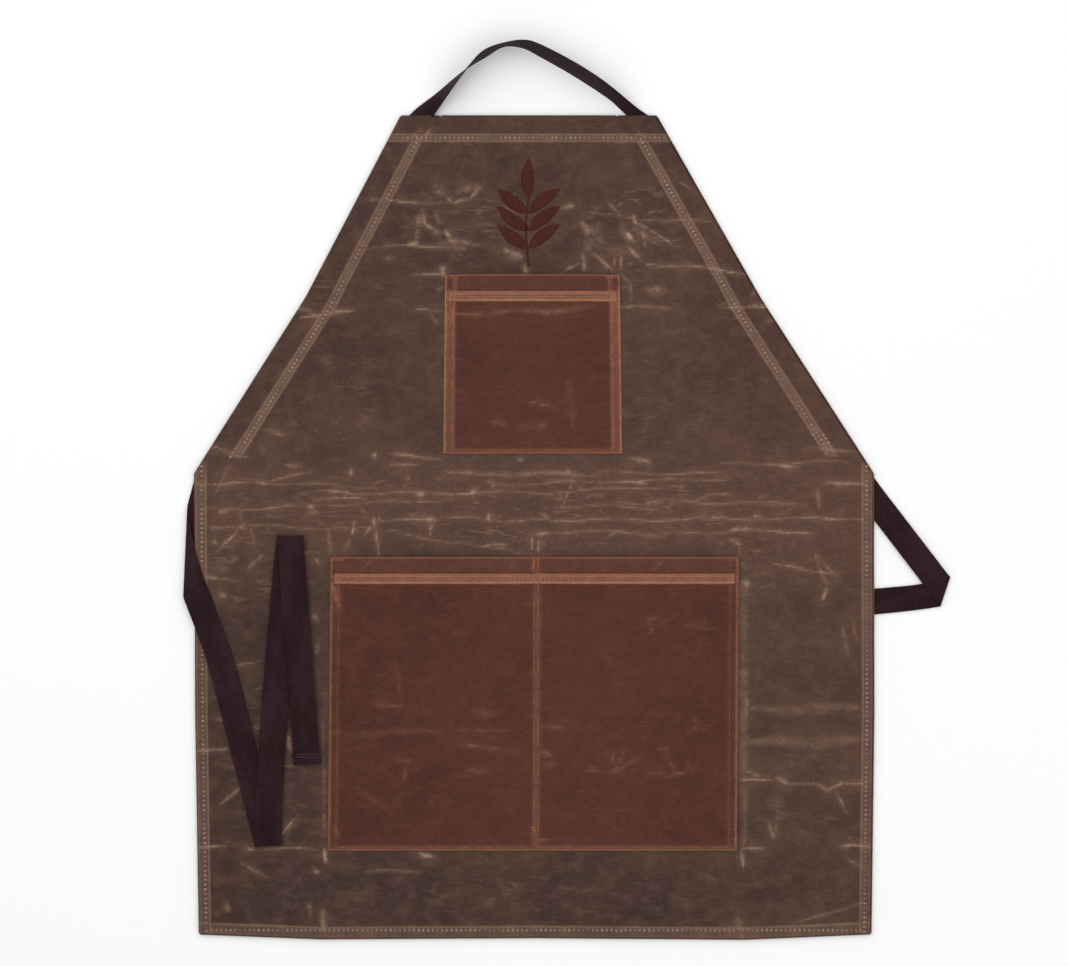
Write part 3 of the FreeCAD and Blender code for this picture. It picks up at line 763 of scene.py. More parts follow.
STROKES = (
    # scuffs and creases on the cloth: from x, y to x, y, how wide, and how strong
    # right across the waist
    (-326, 41, -270, 42, 1.5, 0.6), (-262, 43, -214, 51, 1.5, 0.45), (-207, 36, -178, 34, 1.7, 0.8),
    (-182, 32, 20, 33, 1.5, 0.5), (20, 34, 141, 39, 1.5, 0.4), (-316, 16, -214, 20, 1.5, 0.5),
    (-212, 28, -167, 26, 1.5, 0.7), (-84, 51, 60, 50, 3.0, 0.35), (-38, 40, 56, 43, 1.5, 0.5),
    (86, 43, 108, 41, 1.9, 0.7), (60, 52, 181, 50, 1.5, 0.42), (-147, 4, -96, 8, 1.5, 0.55),
    (-98, 8, 30, 6, 1.5, 0.5), (6, 6, 168, 7, 1.5, 0.55), (168, 7, 316, 8, 1.5, 0.6),
    (0, -5, 131, -6, 1.5, 0.5), (-140, -5, -60, -18, 1.4, 0.35), (-60, -18, -9, -26, 1.4, 0.4),
    (220, -3, 267, -6, 1.7, 0.75), (189, -2, 208, -1, 1.9, 0.7), (236, 57, 256, 56, 1.7, 0.6),
    (278, 43, 316, 40, 2.6, 0.6), (262, 74, 314, 73, 1.5, 0.35), (166, 32, 190, 30, 1.5, 0.5),
    (150, 23, 166, 29, 1.5, 0.45), (91, 66, 111, 61, 3.4, 0.6), (-140, 69, -89, 66, 1.9, 0.6),
    (-138, 60, -112, 60, 2.4, 0.45), (-238, 60, -225, 58, 2.4, 0.6), (37, 42, 26, 17, 1.5, 0.6),
    (272, 34, 274, 19, 3.0, 0.4), (-2, -11, -2, -22, 1.6, 0.75), (4, -13, 4, -24, 1.6, 0.7),
    (-2, -8, 12, -9, 1.8, 0.45), (-270, 42, -150, 38, 1.4, 0.35), (-214, 20, -84, 26, 1.4, 0.35),
    (56, 43, 190, 46, 1.6, 0.42), (-300, 1, -150, -2, 1.4, 0.32), (131, -6, 250, -4, 1.4, 0.42),
    (110, 24, 262, 22, 1.8, 0.34), (20, 20, 120, 18, 1.6, 0.3), (180, 60, 300, 62, 1.6, 0.32),
    # knots where creases meet there
    (-266, 42, -260, 42, 3.2, 0.7), (-301, 15, -296, 15, 3.6, 0.65), (-216, 19, -212, 19, 3.0, 0.7),
    (-112, 31, -106, 30, 3.4, 0.65), (-59, 33, -55, 33, 3.4, 0.8), (-102, 7, -97, 7, 4.2, 0.7),
    (-44, 12, -43, 5, 2.8, 0.7), (-153, 70, -153, 66, 2.6, 0.7), (-176, 55, -176, 50, 2.6, 0.65),
    (-121, 52, -121, 46, 1.9, 0.5), (-15, 65, -12, 64, 3.0, 0.55), (-39, 43, -39, 39, 2.4, 0.65),
    (32, 53, 38, 51, 3.0, 0.55), (108, 22, 122, 25, 4.6, 0.4), (170, 9, 186, 9, 3.4, 0.5),
    (212, 9, 217, 9, 3.4, 0.7), (280, 8, 284, 8, 2.6, 0.6), (-46, -18, -26, -18, 2.8, 0.4),
    # crumpled places above and beside the tie at the left
    (-310, 77, -287, 69, 1.5, 0.7), (-287, 69, -275, 66, 1.5, 0.6), (-291, 59, -307, 30, 1.5, 0.4),
    (-263, 79, -259, 68, 1.5, 0.45), (-258, 93, -240, 88, 2.4, 0.45), (-282, 21, -281, 0, 2.4, 0.45),
    (-281, 0, -305, -25, 1.9, 0.6), (-284, -1, -279, 1, 4.0, 0.6), (-272, -3, -268, -20, 1.7, 0.35),
    (-314, 0, -296, 0, 2.6, 0.4), (-310, -14, -306, -16, 3.0, 0.5), (-172, 5, -175, -8, 2.6, 0.8),
    (-175, -8, -182, -23, 1.7, 0.4), (-154, 8, -153, 0, 2.8, 0.8), (-153, 0, -149, -27, 1.7, 0.65),
    (-162, -7, -157, 0, 1.9, 0.5), (-98, 2, -100, -9, 1.9, 0.6), (-210, -30, -206, -37, 1.9, 0.5),
    (-198, -4, -195, -23, 2.6, 0.5), (-274, -39, -261, -28, 2.4, 0.35),
    (-315, -49, -304, -50, 2.4, 0.6), (-304, -50, -282, -54, 1.5, 0.45),
    (-300, -66, -297, -67, 3.2, 0.6),
    # beside the print and over the chest pocket
    (-168, 315, -145, 314, 1.4, 0.45), (-145, 314, -85, 310, 1.5, 0.55), (-84, 315, -77, 310, 2.4, 0.7),
    (-77, 310, -61, 316, 2.6, 0.8), (-61, 316, -52, 326, 3.2, 0.75), (-66, 324, -54, 326, 5.0, 0.4),
    (-92, 322, -89, 325, 4.0, 0.35), (-108, 305, -104, 290, 1.9, 0.75), (-104, 290, -97, 286, 1.9, 0.7),
    (-109, 300, -112, 290, 4.4, 0.45), (-112, 286, -113, 272, 2.8, 0.5),
    (-119, 271, -113, 272, 2.8, 0.6), (-96, 286, -89, 278, 2.4, 0.45), (-93, 300, -91, 294, 4.0, 0.3),
    (-85, 284, -77, 271, 4.2, 0.85), (-73, 275, -61, 271, 3.4, 0.5), (-161, 268, -44, 270, 1.5, 0.45),
    (-28, 266, -12, 259, 4.2, 0.6), (-9, 249, -8, 245, 3.6, 0.5), (-117, 242, -88, 242, 1.5, 0.7),
    (-88, 248, -87, 242, 3.4, 0.8), (-113, 209, -88, 208, 1.7, 0.6), (-193, 208, -172, 207, 1.9, 0.7),
    (-224, 202, -178, 204, 2.6, 0.5), (-228, 209, -206, 203, 3.6, 0.45),
    (-100, 205, -93, 196, 1.9, 0.35), (-142, 257, -138, 257, 3.0, 0.35), (-27, 306, -18, 299, 3.0, 0.4),
    (26, 306, 37, 308, 4.0, 0.5), (72, 310, 84, 298, 1.6, 0.65), (54, 299, 178, 291, 1.4, 0.35),
    (95, 299, 98, 291, 3.2, 0.7), (98, 292, 118, 280, 1.9, 0.55), (118, 280, 131, 272, 1.6, 0.85),
    (88, 283, 96, 274, 3.4, 0.75), (104, 288, 107, 268, 2.6, 0.35), (47, 291, 65, 270, 6.0, 0.42),
    (84, 292, 92, 272, 5.0, 0.25), (90, 270, 102, 256, 3.2, 0.5), (55, 263, 77, 245, 2.4, 0.55),
    (47, 261, 48, 246, 3.4, 0.65), (28, 245, 45, 253, 2.4, 0.55), (77, 261, 77, 249, 1.5, 0.55),
    (84, 260, 83, 246, 1.5, 0.75), (84, 242, 93, 234, 1.7, 0.5), (93, 234, 93, 216, 2.4, 0.3),
    (108, 253, 202, 244, 1.5, 0.72), (118, 228, 121, 227, 4.6, 0.45), (85, 210, 131, 210, 2.4, 0.45),
    (176, 211, 205, 211, 1.9, 0.45), (205, 211, 224, 210, 3.2, 0.7), (140, 331, 150, 325, 1.4, 0.5),
    (-116, 374, -108, 381, 1.3, 0.6), (-105, 375, -100, 381, 1.3, 0.6), (106, 374, 98, 381, 1.3, 0.5),
    # soft patches there
    (-106, 300, -109, 288, 6.0, 0.22), (-98, 286, -86, 277, 5.5, 0.1), (-82, 282, -74, 271, 6.0, 0.25),
    (-90, 272, -58, 271, 4.2, 0.1), (-72, 321, -53, 324, 6.0, 0.2), (-92, 324, -87, 320, 6.0, 0.12),
    (-27, 263, -13, 258, 6.0, 0.2), (96, 286, 110, 276, 7.0, 0.12), (62, 288, 52, 268, 7.0, 0.16),
    (74, 262, 94, 266, 6.0, 0.1), (110, 228, 124, 226, 7.0, 0.12),
    # down the sides and along the foot
    (196, -16, 190, -13, 3.4, 0.6), (231, -37, 272, -42, 1.9, 0.5), (272, -42, 291, -47, 1.6, 0.55),
    (270, -27, 291, -47, 1.7, 0.5), (270, -27, 282, -60, 1.9, 0.5), (282, -58, 276, -71, 2.8, 0.7),
    (204, -50, 204, -62, 5.0, 0.4), (202, -56, 202, -309, 4.4, 0.12), (198, -17, 198, -28, 1.5, 0.65),
    (204, -160, 204, -183, 3.0, 0.4), (296, -96, 302, -124, 1.7, 0.4), (306, -91, 310, -110, 1.7, 0.35),
    (206, -176, 310, -174, 4.5, 0.0), (204, -208, 310, -205, 5.5, 0.06),
    (200, -244, 234, -242, 1.7, 0.75), (204, -235, 217, -240, 3.0, 0.5),
    (232, -241, 243, -246, 3.4, 0.85), (244, -247, 268, -246, 1.7, 0.55),
    (268, -246, 283, -254, 1.9, 0.6), (281, -255, 296, -246, 2.8, 0.7),
    (296, -246, 317, -246, 1.7, 0.65), (284, -240, 301, -277, 1.9, 0.38),
    (226, -286, 230, -299, 2.8, 0.8), (233, -286, 230, -299, 1.9, 0.6),
    (200, -309, 221, -309, 1.9, 0.6), (294, -307, 328, -306, 1.9, 0.75),
    (302, -299, 315, -302, 1.5, 0.45), (301, -320, 315, -327, 1.6, 0.6),
    (199, -310, 201, -327, 2.8, 0.75), (249, -383, 315, -362, 1.6, 0.35),
    (196, -374, 199, -392, 4.4, 0.35), (-325, -214, -290, -214, 1.9, 0.65),
    (-304, -185, -296, -186, 2.6, 0.4), (-287, -132, -262, -130, 1.5, 0.35),
    (-281, -249, -302, -268, 1.9, 0.45), (-236, -200, -234, -218, 3.4, 0.5),
    (-242, -295, -224, -275, 1.7, 0.65), (-325, -307, -295, -307, 1.9, 0.55),
    (-280, -309, -268, -310, 2.8, 0.65), (-268, -310, -208, -310, 1.5, 0.45),
    (-202, -180, -201, -308, 1.7, 0.35), (-201, -309, -200, -322, 2.8, 0.8),
    (-211, -86, -208, -90, 2.4, 0.55), (-208, -112, -208, -122, 2.4, 0.5),
    (-283, -322, -257, -336, 1.7, 0.35), (-212, -329, -208, -331, 3.0, 0.45),
    (-110, -314, -96, -318, 3.6, 0.55), (-296, -364, -294, -369, 3.4, 0.4),
    (-216, -362, -214, -375, 2.4, 0.55), (-203, -368, -202, -386, 3.6, 0.55),
    (-160, -331, -110, -331, 1.7, 0.3),
)
CRUMPLED = (
    # where the cloth is crumpled all over: middle x, y, how far it spreads each way, and how much
    (0, 20, 320, 46, 1.0), (-80, 285, 60, 55, 1.0), (95, 280, 60, 55, 1.0), (-220, 215, 50, 30, 0.8),
    (200, 215, 50, 40, 0.7), (-262, -20, 60, 60, 1.0), (-258, -200, 55, 60, 0.8),
    (255, -260, 70, 60, 0.4), (-90, 240, 28, 26, 0.9), (88, 240, 28, 26, 0.9), (-200, -35, 36, 30, 0.8),
    (205, -35, 36, 40, 0.9), (0, -352, 320, 30, 0.4), (0, 375, 130, 24, 0.5), (120, 120, 120, 70, 0.35),
    (-180, 120, 80, 60, 0.45),
)


GLOW = 0.34
GLOW_REACH = 2.0


def stroke_wear(x, y, strokes):
    """The strongest of the soft strokes at each point, from 0 to 1."""
    wear = np.zeros_like(x)
    for x0, y0, x1, y1, width, strength in strokes:
        length = math.hypot(x1 - x0, y1 - y0)
        glow = GLOW_REACH * width + 2.2
        margin = 2.2 * glow
        near_it = (x > min(x0, x1) - margin) & (x < max(x0, x1) + margin)
        near_it &= (y > min(y0, y1) - margin) & (y < max(y0, y1) + margin)
        px, py = x[near_it], y[near_it]
        t = np.clip(((px - x0) * (x1 - x0) + (py - y0) * (y1 - y0)) / length**2, 0, 1)
        sway = min(1.4, 0.03 * length) * np.sin(t * length / 14 + x0)
        away = np.hypot(px - x0 - t * (x1 - x0), py - y0 - t * (y1 - y0) + sway)
        ends = (2 * t - 1) ** 2
        fade = (0.78 + 0.22 * np.sin(t * (3 + length / 22) + y0)) * (1 - 0.35 * ends**2)
        taper = width * (1 - 0.4 * ends) if length > 8 else width
        mark = (SCUFF_FLOOR + 0.66 * strength * fade) * np.exp(-((away / taper) ** 2))
        around = GLOW * strength * fade * np.exp(-((away / glow) ** 2))
        wear[near_it] = np.maximum.reduce([wear[near_it], mark, around])
    return wear


def crumple_share(x, y):
    share = np.full_like(x, 0.15)
    for mx, my, wide, high, strength in CRUMPLED:
        away = np.hypot((x - mx) / wide, (y - my) / high)
        share = np.maximum(share, strength * (1 - smooth((away - 0.55) / 0.6)))
    return share


def ridge_share(x, y):
    """1 on the fine ridges that run along both sides of each seam, and 0 away from them."""
    rim, down, up = from_edges(x, y), HALF_LENGTH - y, y + HALF_LENGTH
    bib = smooth((y - WAIST_Y - 14) / 5) * smooth((TOP_RIDGES[1] - down) / -1.5)
    skirt, hem = smooth((WAIST_Y + 14 - y) / 6), from_skirt_edges(x, y)
    ridges = [bib * bump_at(rim, at, 0.75) for at in SEAM_RIDGES]
    ridges += [bump_at(down, at, 0.75) for at in TOP_RIDGES]
    ridges += [skirt * bump_at(hem, HEM_RIDGE, 0.75), bump_at(up, HEM_RIDGE, 0.75)]
    return np.maximum.reduce([*ridges, 0.6 * skirt * bump_at(hem, 2.3, 0.6), 0.8 * bump_at(up, 2, 0.6)])


def band_share(x, y):
    """Paler wax on the turned hems and along the casings' stitching."""
    rim, down, up = from_edges(x, y), HALF_LENGTH - y, y + HALF_LENGTH
    hem = 1 - smooth((from_skirt_edges(x, y) - HEM_RIDGE) / 1.2)
    side = smooth((WAIST_Y + 14 - y) / 6) * 0.13 * hem
    bottom = 0.13 * (1 - smooth((up - HEM_RIDGE) / 1.2))
    upper = 0.16 * smooth((down - TOP_RIDGES[0] + 0.8) / 1.2) * smooth((TOP_RIDGES[1] + 0.8 - down) / 1.2)
    casing = 0.2 * smooth((rim - SEAM_RIDGES[0] + 1.2) / 2) * smooth((SEAM_RIDGES[1] + 0.8 - rim) / 1.2)
    casing = casing * smooth((y - WAIST_Y - 14) / 5) * smooth((down - TOP_RIDGES[1] + 2) / 2)
    return np.maximum.reduce([side, bottom, upper, casing]) + 0.24 * ridge_share(x, y)


def tone_share(x, y):
    """Where the cloth as a whole is lighter or darker: pale at the waist, dark at the foot."""
    tone = 0.12 + 0.3 * bump_at(y, 18, 70) + 0.1 * np.clip(x / 300, -1, 1)
    tone = tone - 0.04 * smooth((y - 200) / 100)
    return tone - 0.16 * smooth((-290 - y) / 50) - 0.14 * bump_at(x, -265, 60) * smooth((-y - 40) / 60)


def hem_profile(width, turned):
    """A turned edge in section: (how far in from the edge, height), from the front round under."""
    radius = (TOP_MID - LOW_MID) / 2
    rounded = [
        (FOLD_IN - radius * math.sin(a), LOW_MID + radius + radius * math.cos(a))
        for a in (math.pi * i / ARC for i in range(1, ARC + 1))
    ]
    under = [(FOLD_IN + (width - 0.5 - FOLD_IN) * k / 5, LOW_MID) for k in range(1, 6)]
    inner = [(width - 0.1, LOW_MID + 0.4), (width - 0.6, LOW_MID + 0.8)]
    back = [(width - 0.6 - (turned - 1) * k / 2, LOW_MID + 0.85) for k in (1, 2)]
    return rounded + under + inner + back


ARC = 8
RIMS = (
    *(FOLD_IN, 2.3, 3.2, 4.6, 6, 7.4, 8.8, 9.9, 10.6, 11.3, 12, 13, 14.6, 16.6, 18.6, 20.2),
    *(21.1, 22, 23.4, 25.4, 27.4, 28.6, 29.4, 30.2, 31.4, 33.2, 35.5),
)
LOW_ROWS = (FOLD_IN, 2, 3, 5, 7.4, 9.4, 10.6, 11.3, 12, 13.4, 15.5)
TOP_ROWS = (FOLD_IN, 3, 5, 8, 11, 14, 16, 17.6, 18.6, 19.6, 21.9, 24.2, 25.2, 26.2, 27.6, 29.5)


def main_cloth():
    """One sheet with all its edges turned under: hems at the sides, top and foot, and casings."""
    rims = np.array(RIMS)
    count = 280
    middle = np.linspace(0, 1, count + 1)[1:-1]
    low_rows, top_rows = np.array(LOW_ROWS) - HALF_LENGTH, HALF_LENGTH - np.array(TOP_ROWS)[::-1]
    y_rows = np.concatenate([low_rows, np.linspace(low_rows[-1], top_rows[0], 400)[1:-1], top_rows])
    left, right = edge_x(y_rows, LEFT_X), edge_x(y_rows, RIGHT_X)
    rim_rows = rims[None, :] / edge_cosine(y_rows)[:, None]
    inner_left, inner_right = left + rim_rows[:, -1], right - rim_rows[:, -1]
    x = np.concatenate(
        [
            left[:, None] + rim_rows,
            inner_left[:, None] + (inner_right - inner_left)[:, None] * middle[None, :],
            right[:, None] - rim_rows[:, ::-1],
        ],
        axis=1,
    )
    y = np.repeat(y_rows[:, None], x.shape[1], axis=1)
    raised = lift(x, y)
    rows, columns = x.shape
    points = [np.stack([x, y, TOP_MID + raised], axis=2).reshape(-1, 3)]
    faces = [grid_faces(rows, columns)]
    painted_x, painted_y = [x.ravel()], [y.ravel()]
    total = rows * columns

    def strip(first, ring_points, keep):
        """Quads from a line of the sheet's own points out through the rings of a turned edge."""
        nonlocal total
        rings, length = ring_points.shape[:2]
        ids = total + np.arange(rings * length).reshape(rings, length)
        lines = np.concatenate([first[None, :], ids], axis=0)
        for k in range(rings):
            for i in range(length - 1):
                if keep(k, i):
                    quad = (lines[k, i], lines[k, i + 1], lines[k + 1, i + 1], lines[k + 1, i])
                    faces.append(np.array([quad]))
        flat = ring_points.reshape(-1, 3)
        points.append(flat)
        painted_x.append(flat[:, 0])
        painted_y.append(flat[:, 1])
        total += rings * length

    ids = np.arange(rows * columns).reshape(rows, columns)
    for side, column, edge, sign in (("left", 0, left, 1), ("right", -1, right, -1)):
        skirt, casing = hem_profile(12.0, 8.0), hem_profile(33.0, 6.0)
        first = ids[:, column]
        high = raised[:, column]
        ring_points = []
        for hem, woven in zip(skirt, casing):
            is_bib = y_rows > WAIST_Y
            inward = np.where(is_bib, woven[0], hem[0])
            z = np.where(is_bib, woven[1], hem[1])
            low = LOW_MID + raised_hem(side, y_rows)
            share = (z - LOW_MID) / (TOP_MID - LOW_MID)
            height = low + (TOP_MID + high - low) * share
            ring_points.append(np.stack([edge + sign * inward, y_rows, height], axis=1))

        def keep_side(k, i):
            if k < ARC:
                return True
            low, top = y_rows[i], y_rows[i + 1]
            return low > -HALF_LENGTH + 13 and not (low < WAIST_Y < top)

        strip(first, np.array(ring_points), keep_side)
    for name, row, sign in (("bottom", 0, 1), ("top", -1, -1)):
        profile = hem_profile(12.5, 8.0) if name == "bottom" else hem_profile(28.0, 8.0)
        first = ids[row]
        high = raised[row]
        limit = sign * -HALF_LENGTH
        line_x = x[row]
        ring_points = []
        for inward, z in profile:
            share = (z - LOW_MID) / (TOP_MID - LOW_MID)
            height = LOW_MID + (TOP_MID + high - LOW_MID) * share
            ring_points.append(np.stack([line_x, np.full(columns, limit + sign * inward), height], axis=1))
        rim_columns = len(rims)

        def keep_across(k, i):
            if name == "bottom":
                return True
            return rim_columns - 1 <= i < columns - rim_columns

        strip(first, np.array(ring_points), keep_across)
    # the casings are open at the top, so there the front ends in a cut edge level with the fold
    cut = np.r_[0 : len(rims) - 1, columns - len(rims) + 1 : columns]
    points[0][ids[-1, cut], 1] = HALF_LENGTH - 0.35
    points = np.concatenate(points)
    px, py = np.concatenate(painted_x), np.concatenate(painted_y)
    points[:, 1] -= low_edge_drop(points[:, 0], points[:, 1])
    painted = {
        "wear": stroke_wear(px, py, STROKES),
        "crumple": crumple_share(px, py),
        "band": band_share(px, py),
        "tone": tone_share(px, py),
    }
    place = np.stack([px, py, points[:, 2]], axis=1)
    piece = new_piece("apron_cloth", points, np.concatenate(faces), CANVAS, place, painted)
    thicken(piece, CLOTH)
    return piece


cloth = main_cloth()


# ---------------------------------------------------------------- pockets


def pouch_lift(x, y, left, right, low, top):
    """How far a pocket stands off the cloth: nothing at its seams, and most at its mouth."""
    sides = smooth((x - left - 7) / 26) * smooth((right - 7 - x) / 26)
    foot = smooth((y - low - 5) / 55)
    mouth = smooth((y - top + 120) / 120)
    return sides * (1.0 * foot + 2.9 * mouth)


def pocket_height(x, y, box, pouches):
    """The middle of the pocket's cloth above the base, with its doubled top and turned sides."""
    left, right, low, top = box
    z = CLOTH_FRONT_Z + POCKET_MID + lift(x, y) + 0.1
    hem = smooth((y - (top - POCKET_HEM)) / 0.7)
    rim = np.minimum.reduce([x - left, right - x, y - low])
    turned = smooth((rim + 0.2) / 1.0) * (1 - smooth((rim - 8.6) / 2.6))
    z = z + 2 * POCKET_FOLD * hem + 0.3 * turned * (1 - hem)
    for first, last in pouches:
        inside = (x > first) & (x < last)
        z = z + np.where(inside, pouch_lift(x, y, first, last, low, top), 0)
    wrinkle = 0.12 * np.sin(x / 23 + np.sin(y / 31)) * np.sin(y / 37 + 1)
    return z + wrinkle * smooth((rim - 8) / 30)


def leaned(x, y, box):
    """Where a point of a pocket goes when its corners are drawn in a little from the rectangle."""
    left, right, low, top = box
    along, up = (x - left) / (right - left), (y - low) / (top - low)
    low_left, low_right, top_left, top_right = LEANS[box]
    return x + (1 - along) * (low_left * (1 - up) + top_left * up) + along * (
        low_right * (1 - up) + top_right * up
    )


def pocket_band(x, y, box):
    """Paler cloth along a pocket's turned sides and across the lower part of its top hem."""
    left, right, low, top = box
    down = top - y
    side = np.minimum(x - left, right - x)
    pale = (0.18 + 0.12 * smooth((y - low - 40) / 120)) if box is CHEST else 0.03
    pale = pale * smooth((down - 13) / 4)
    rim = (0.5 if box is CHEST else 0.36) * bump_at(side, 0.4, 1.3)
    sides = pale * (1 - smooth((side - 9.2) / 1.8)) + rim
    sides = sides + (0.12 if box is CHEST else 0.03) * bump_at(side, 9.6, 1.2)
    if box is CHEST:
        sides = sides + 0.34 * bump_at(side, 11.2, 0.9) * (1 - smooth((down - 15) / 2))
    band = 0.52 * smooth((down - 15.6) / 1.2) * (1 - smooth((down - 25.4) / 0.8))
    band = (band + 0.22 * bump_at(down, 24.9, 0.8)) * smooth((side - 2.8) / 1.6)
    band = band + 0.4 * bump_at(down, 0.6, 0.9)
    foot = 0.1 * (1 - smooth((y - low - 4.6) / 1.4)) + 0.34 * bump_at(y - low, 0.4, 1.2)
    turn = (0.02 if box is CHEST else 0.05) * (1 - smooth((down - 14.2) / 1.5))
    foot = np.maximum(foot, turn)
    middle = np.zeros_like(x)
    if box is LOWER:
        middle = 0.18 * bump_at(x, DIVIDER_X, 2.8) + 0.08 * bump_at(x, DIVIDER_X + 3.2, 1.0)
    return np.clip(np.maximum.reduce([sides, band, foot, middle]), 0, 0.85)


# how far down from a pocket's top its rows are, where its hem and pale band need them
POCKET_TOP_ROWS = (
    *(27.5, 26.3, 25.7, 25.2, 24.6, 23.4, 21.5, 19.5, 17.8),
    *(16.8, 15.6, 14, 11, 8, 5, 3, 1.6, 0.85),
)


def pocket(name, box, pouches, strokes):
    left, right, low, top = box
    rims = np.array([0, 0.7, 1.8, 3.2, 4.8, 6.4, 7.8, 9.2, 10.6, 12.4, 15])
    divide = []
    if len(pouches) > 1:
        divide = [DIVIDER_X + d for d in (-12, -9, -6.5, -4, -2, 0, 2, 4, 6.5, 9, 12)]
        halves = [(left + 15, DIVIDER_X - 12), (DIVIDER_X + 12, right - 15)]
    else:
        halves = [(left + 15, right - 15)]
    xs = list(left + rims)
    for number, (first, last) in enumerate(halves):
        xs += list(np.linspace(first, last, int((last - first) / 3.2)))[1:-1]
        if number < len(halves) - 1:
            xs += divide
    xs = np.array(xs + list(right - rims[::-1]))
    hem_rows = top - np.array(POCKET_TOP_ROWS)
    middle = np.linspace(low + 15, top - 27.5, int((top - low) / 3.4))
    ys = np.concatenate([low + rims, middle[1:-1], hem_rows])
    x, y = np.meshgrid(xs, ys)
    z = pocket_height(x, y, box, pouches)
    rings = [
        (POCKET_FOLD * math.sin(a), POCKET_FOLD * (1 - math.cos(a)))
        for a in (0.6, 1.2, 1.9, 2.5, math.pi)
    ]
    top_z, top_y = z[-1], y[-1]
    lines_x, lines_y, lines_z = [x], [y], [z]
    for out, down in rings:
        lines_x.append(xs[None, :])
        lines_y.append((top_y + out)[None, :])
        lines_z.append((top_z - down)[None, :])
    for inside in (5, 11, 17, 22, 25.6):
        at = np.full_like(xs, top - inside)
        under = pocket_height(xs, at, box, pouches) - 2 * POCKET_FOLD
        hem_there = smooth((at - (top - POCKET_HEM)) / 0.7)
        lines_x.append(xs[None, :])
        lines_y.append(at[None, :])
        lines_z.append((under + 2 * POCKET_FOLD * (1 - hem_there))[None, :])
    x, y, z = (np.concatenate(a) for a in (lines_x, lines_y, lines_z))
    rows, columns = x.shape
    points = np.stack([leaned(x, y, box), y, z], axis=2).reshape(-1, 3)
    px, py = x.ravel(), y.ravel()
    painted = {
        "wear": stroke_wear(px, py, strokes),
        "crumple": np.full(len(px), 0.2),
        "band": pocket_band(px, py, box),
        "tone": 0.25 + 0.12 * np.sin(px / 90 + 1) + 0.12 * smooth((box[3] - 14 - py) / -4),
    }
    place = points + [700, 0, 0]
    faces = grid_faces(rows, columns)
    piece = new_piece(name, points, faces, POCKET_CANVAS, place, painted)
    thicken(piece, CLOTH)
    return piece


CHEST_STROKES = (
    (-76, 203, -20, 207, 3.0, 0.45), (-20, 206, 60, 210, 3.4, 0.35), (-8, 120, 22, 114, 2.0, 0.7),
    (-12, 97, 12, 98, 2.8, 0.5), (-40, 100, -28, 98, 3.4, 0.3), (10, 205, 14, 204, 3.6, 0.4),
    (34, 142, 38, 96, 3.6, 0.18),
)
LOWER_STROKES = (
    # the left half
    (-196, -56, -189, -78, 4.6, 0.6), (-166, -40, -159, -33, 1.8, 0.3), (-23, -41, -21, -31, 1.8, 0.25),
    (-134, -131, -129, -165, 2.4, 0.12), (-156, -169, -128, -172, 2.0, 0.45),
    (-58, -178, -42, -180, 4.4, 0.18), (-195, -198, -90, -196, 3.4, 0.08),
    (-74, -195, -24, -197, 2.2, 0.28), (-71, -211, -9, -214, 2.0, 0.6),
    (-132, -223, -119, -226, 3.0, 0.3), (-122, -223, -125, -243, 2.4, 0.32),
    (-66, -233, -45, -236, 3.4, 0.2), (-172, -252, -137, -275, 1.9, 0.3),
    (-192, -287, -188, -297, 3.4, 0.3),
    # the right half
    (116, -40, 121, -34, 1.8, 0.3), (110, -88, 126, -93, 1.8, 0.22), (109, -89, 114, -102, 2.0, 0.32),
    (145, -94, 174, -97, 2.0, 0.18), (138, -180, 137, -186, 1.6, 0.3), (153, -182, 157, -189, 1.6, 0.4),
    (157, -189, 154, -197, 1.6, 0.35), (8, -190, 27, -192, 2.0, 0.5), (5, -215, 16, -219, 3.2, 0.5),
    (11, -230, 18, -229, 3.0, 0.35), (52, -234, 61, -232, 3.0, 0.35), (74, -214, 78, -228, 2.2, 0.3),
    (86, -216, 79, -236, 2.4, 0.36), (75, -236, 86, -231, 3.4, 0.32), (90, -228, 105, -218, 2.4, 0.2),
    (121, -212, 128, -213, 1.8, 0.35), (128, -213, 127, -223, 1.8, 0.3),
    (129, -221, 137, -236, 1.8, 0.28), (110, -236, 128, -239, 3.0, 0.32),
    (128, -240, 145, -236, 2.4, 0.34), (148, -226, 152, -236, 2.0, 0.2), (5, -301, 13, -301, 2.2, 0.35),
)
chest_pouches = [(CHEST[0], CHEST[1])]
lower_pouches = [(LOWER[0], DIVIDER_X + 3), (DIVIDER_X - 3, LOWER[1])]
chest = pocket("chest_pocket_cloth", CHEST, chest_pouches, CHEST_STROKES)
lower = pocket("lower_pocket_cloth", LOWER, lower_pouches, LOWER_STROKES)


# ---------------------------------------------------------------- stitching and print


def tree_of(*pieces):
    points, faces = [], []
    for piece in pieces:
        start = len(points)
        points += [v.co.copy() for v in piece.data.vertices]
        faces += [tuple(start + i for i in f.vertices) for f in piece.data.polygons]
    return BVHTree.FromPolygons(points, faces)


CLOTH_TREE = tree_of(cloth)
FRONT_TREE = tree_of(cloth, chest, lower)
END_TREE = tree_of(end_run)


def surface_z(tree, x, y, under=False):
    """The height of the cloth's front at a place, or of its underside, in millimetres."""
    start = Vector((x * MM, y * MM, -0.05 if under else 0.05))
    hit = tree.ray_cast(start, Vector((0, 0, 1 if under else -1)))
    return hit[0].z / MM if hit[0] is not None else None


BEAD = ((-1.0, 0.35, -0.3), (-0.62, 0.9, 0.12), (0.0, 1.0, 0.3), (0.62, 0.9, 0.12), (1.0, 0.35, -0.3))
SIDES = 6


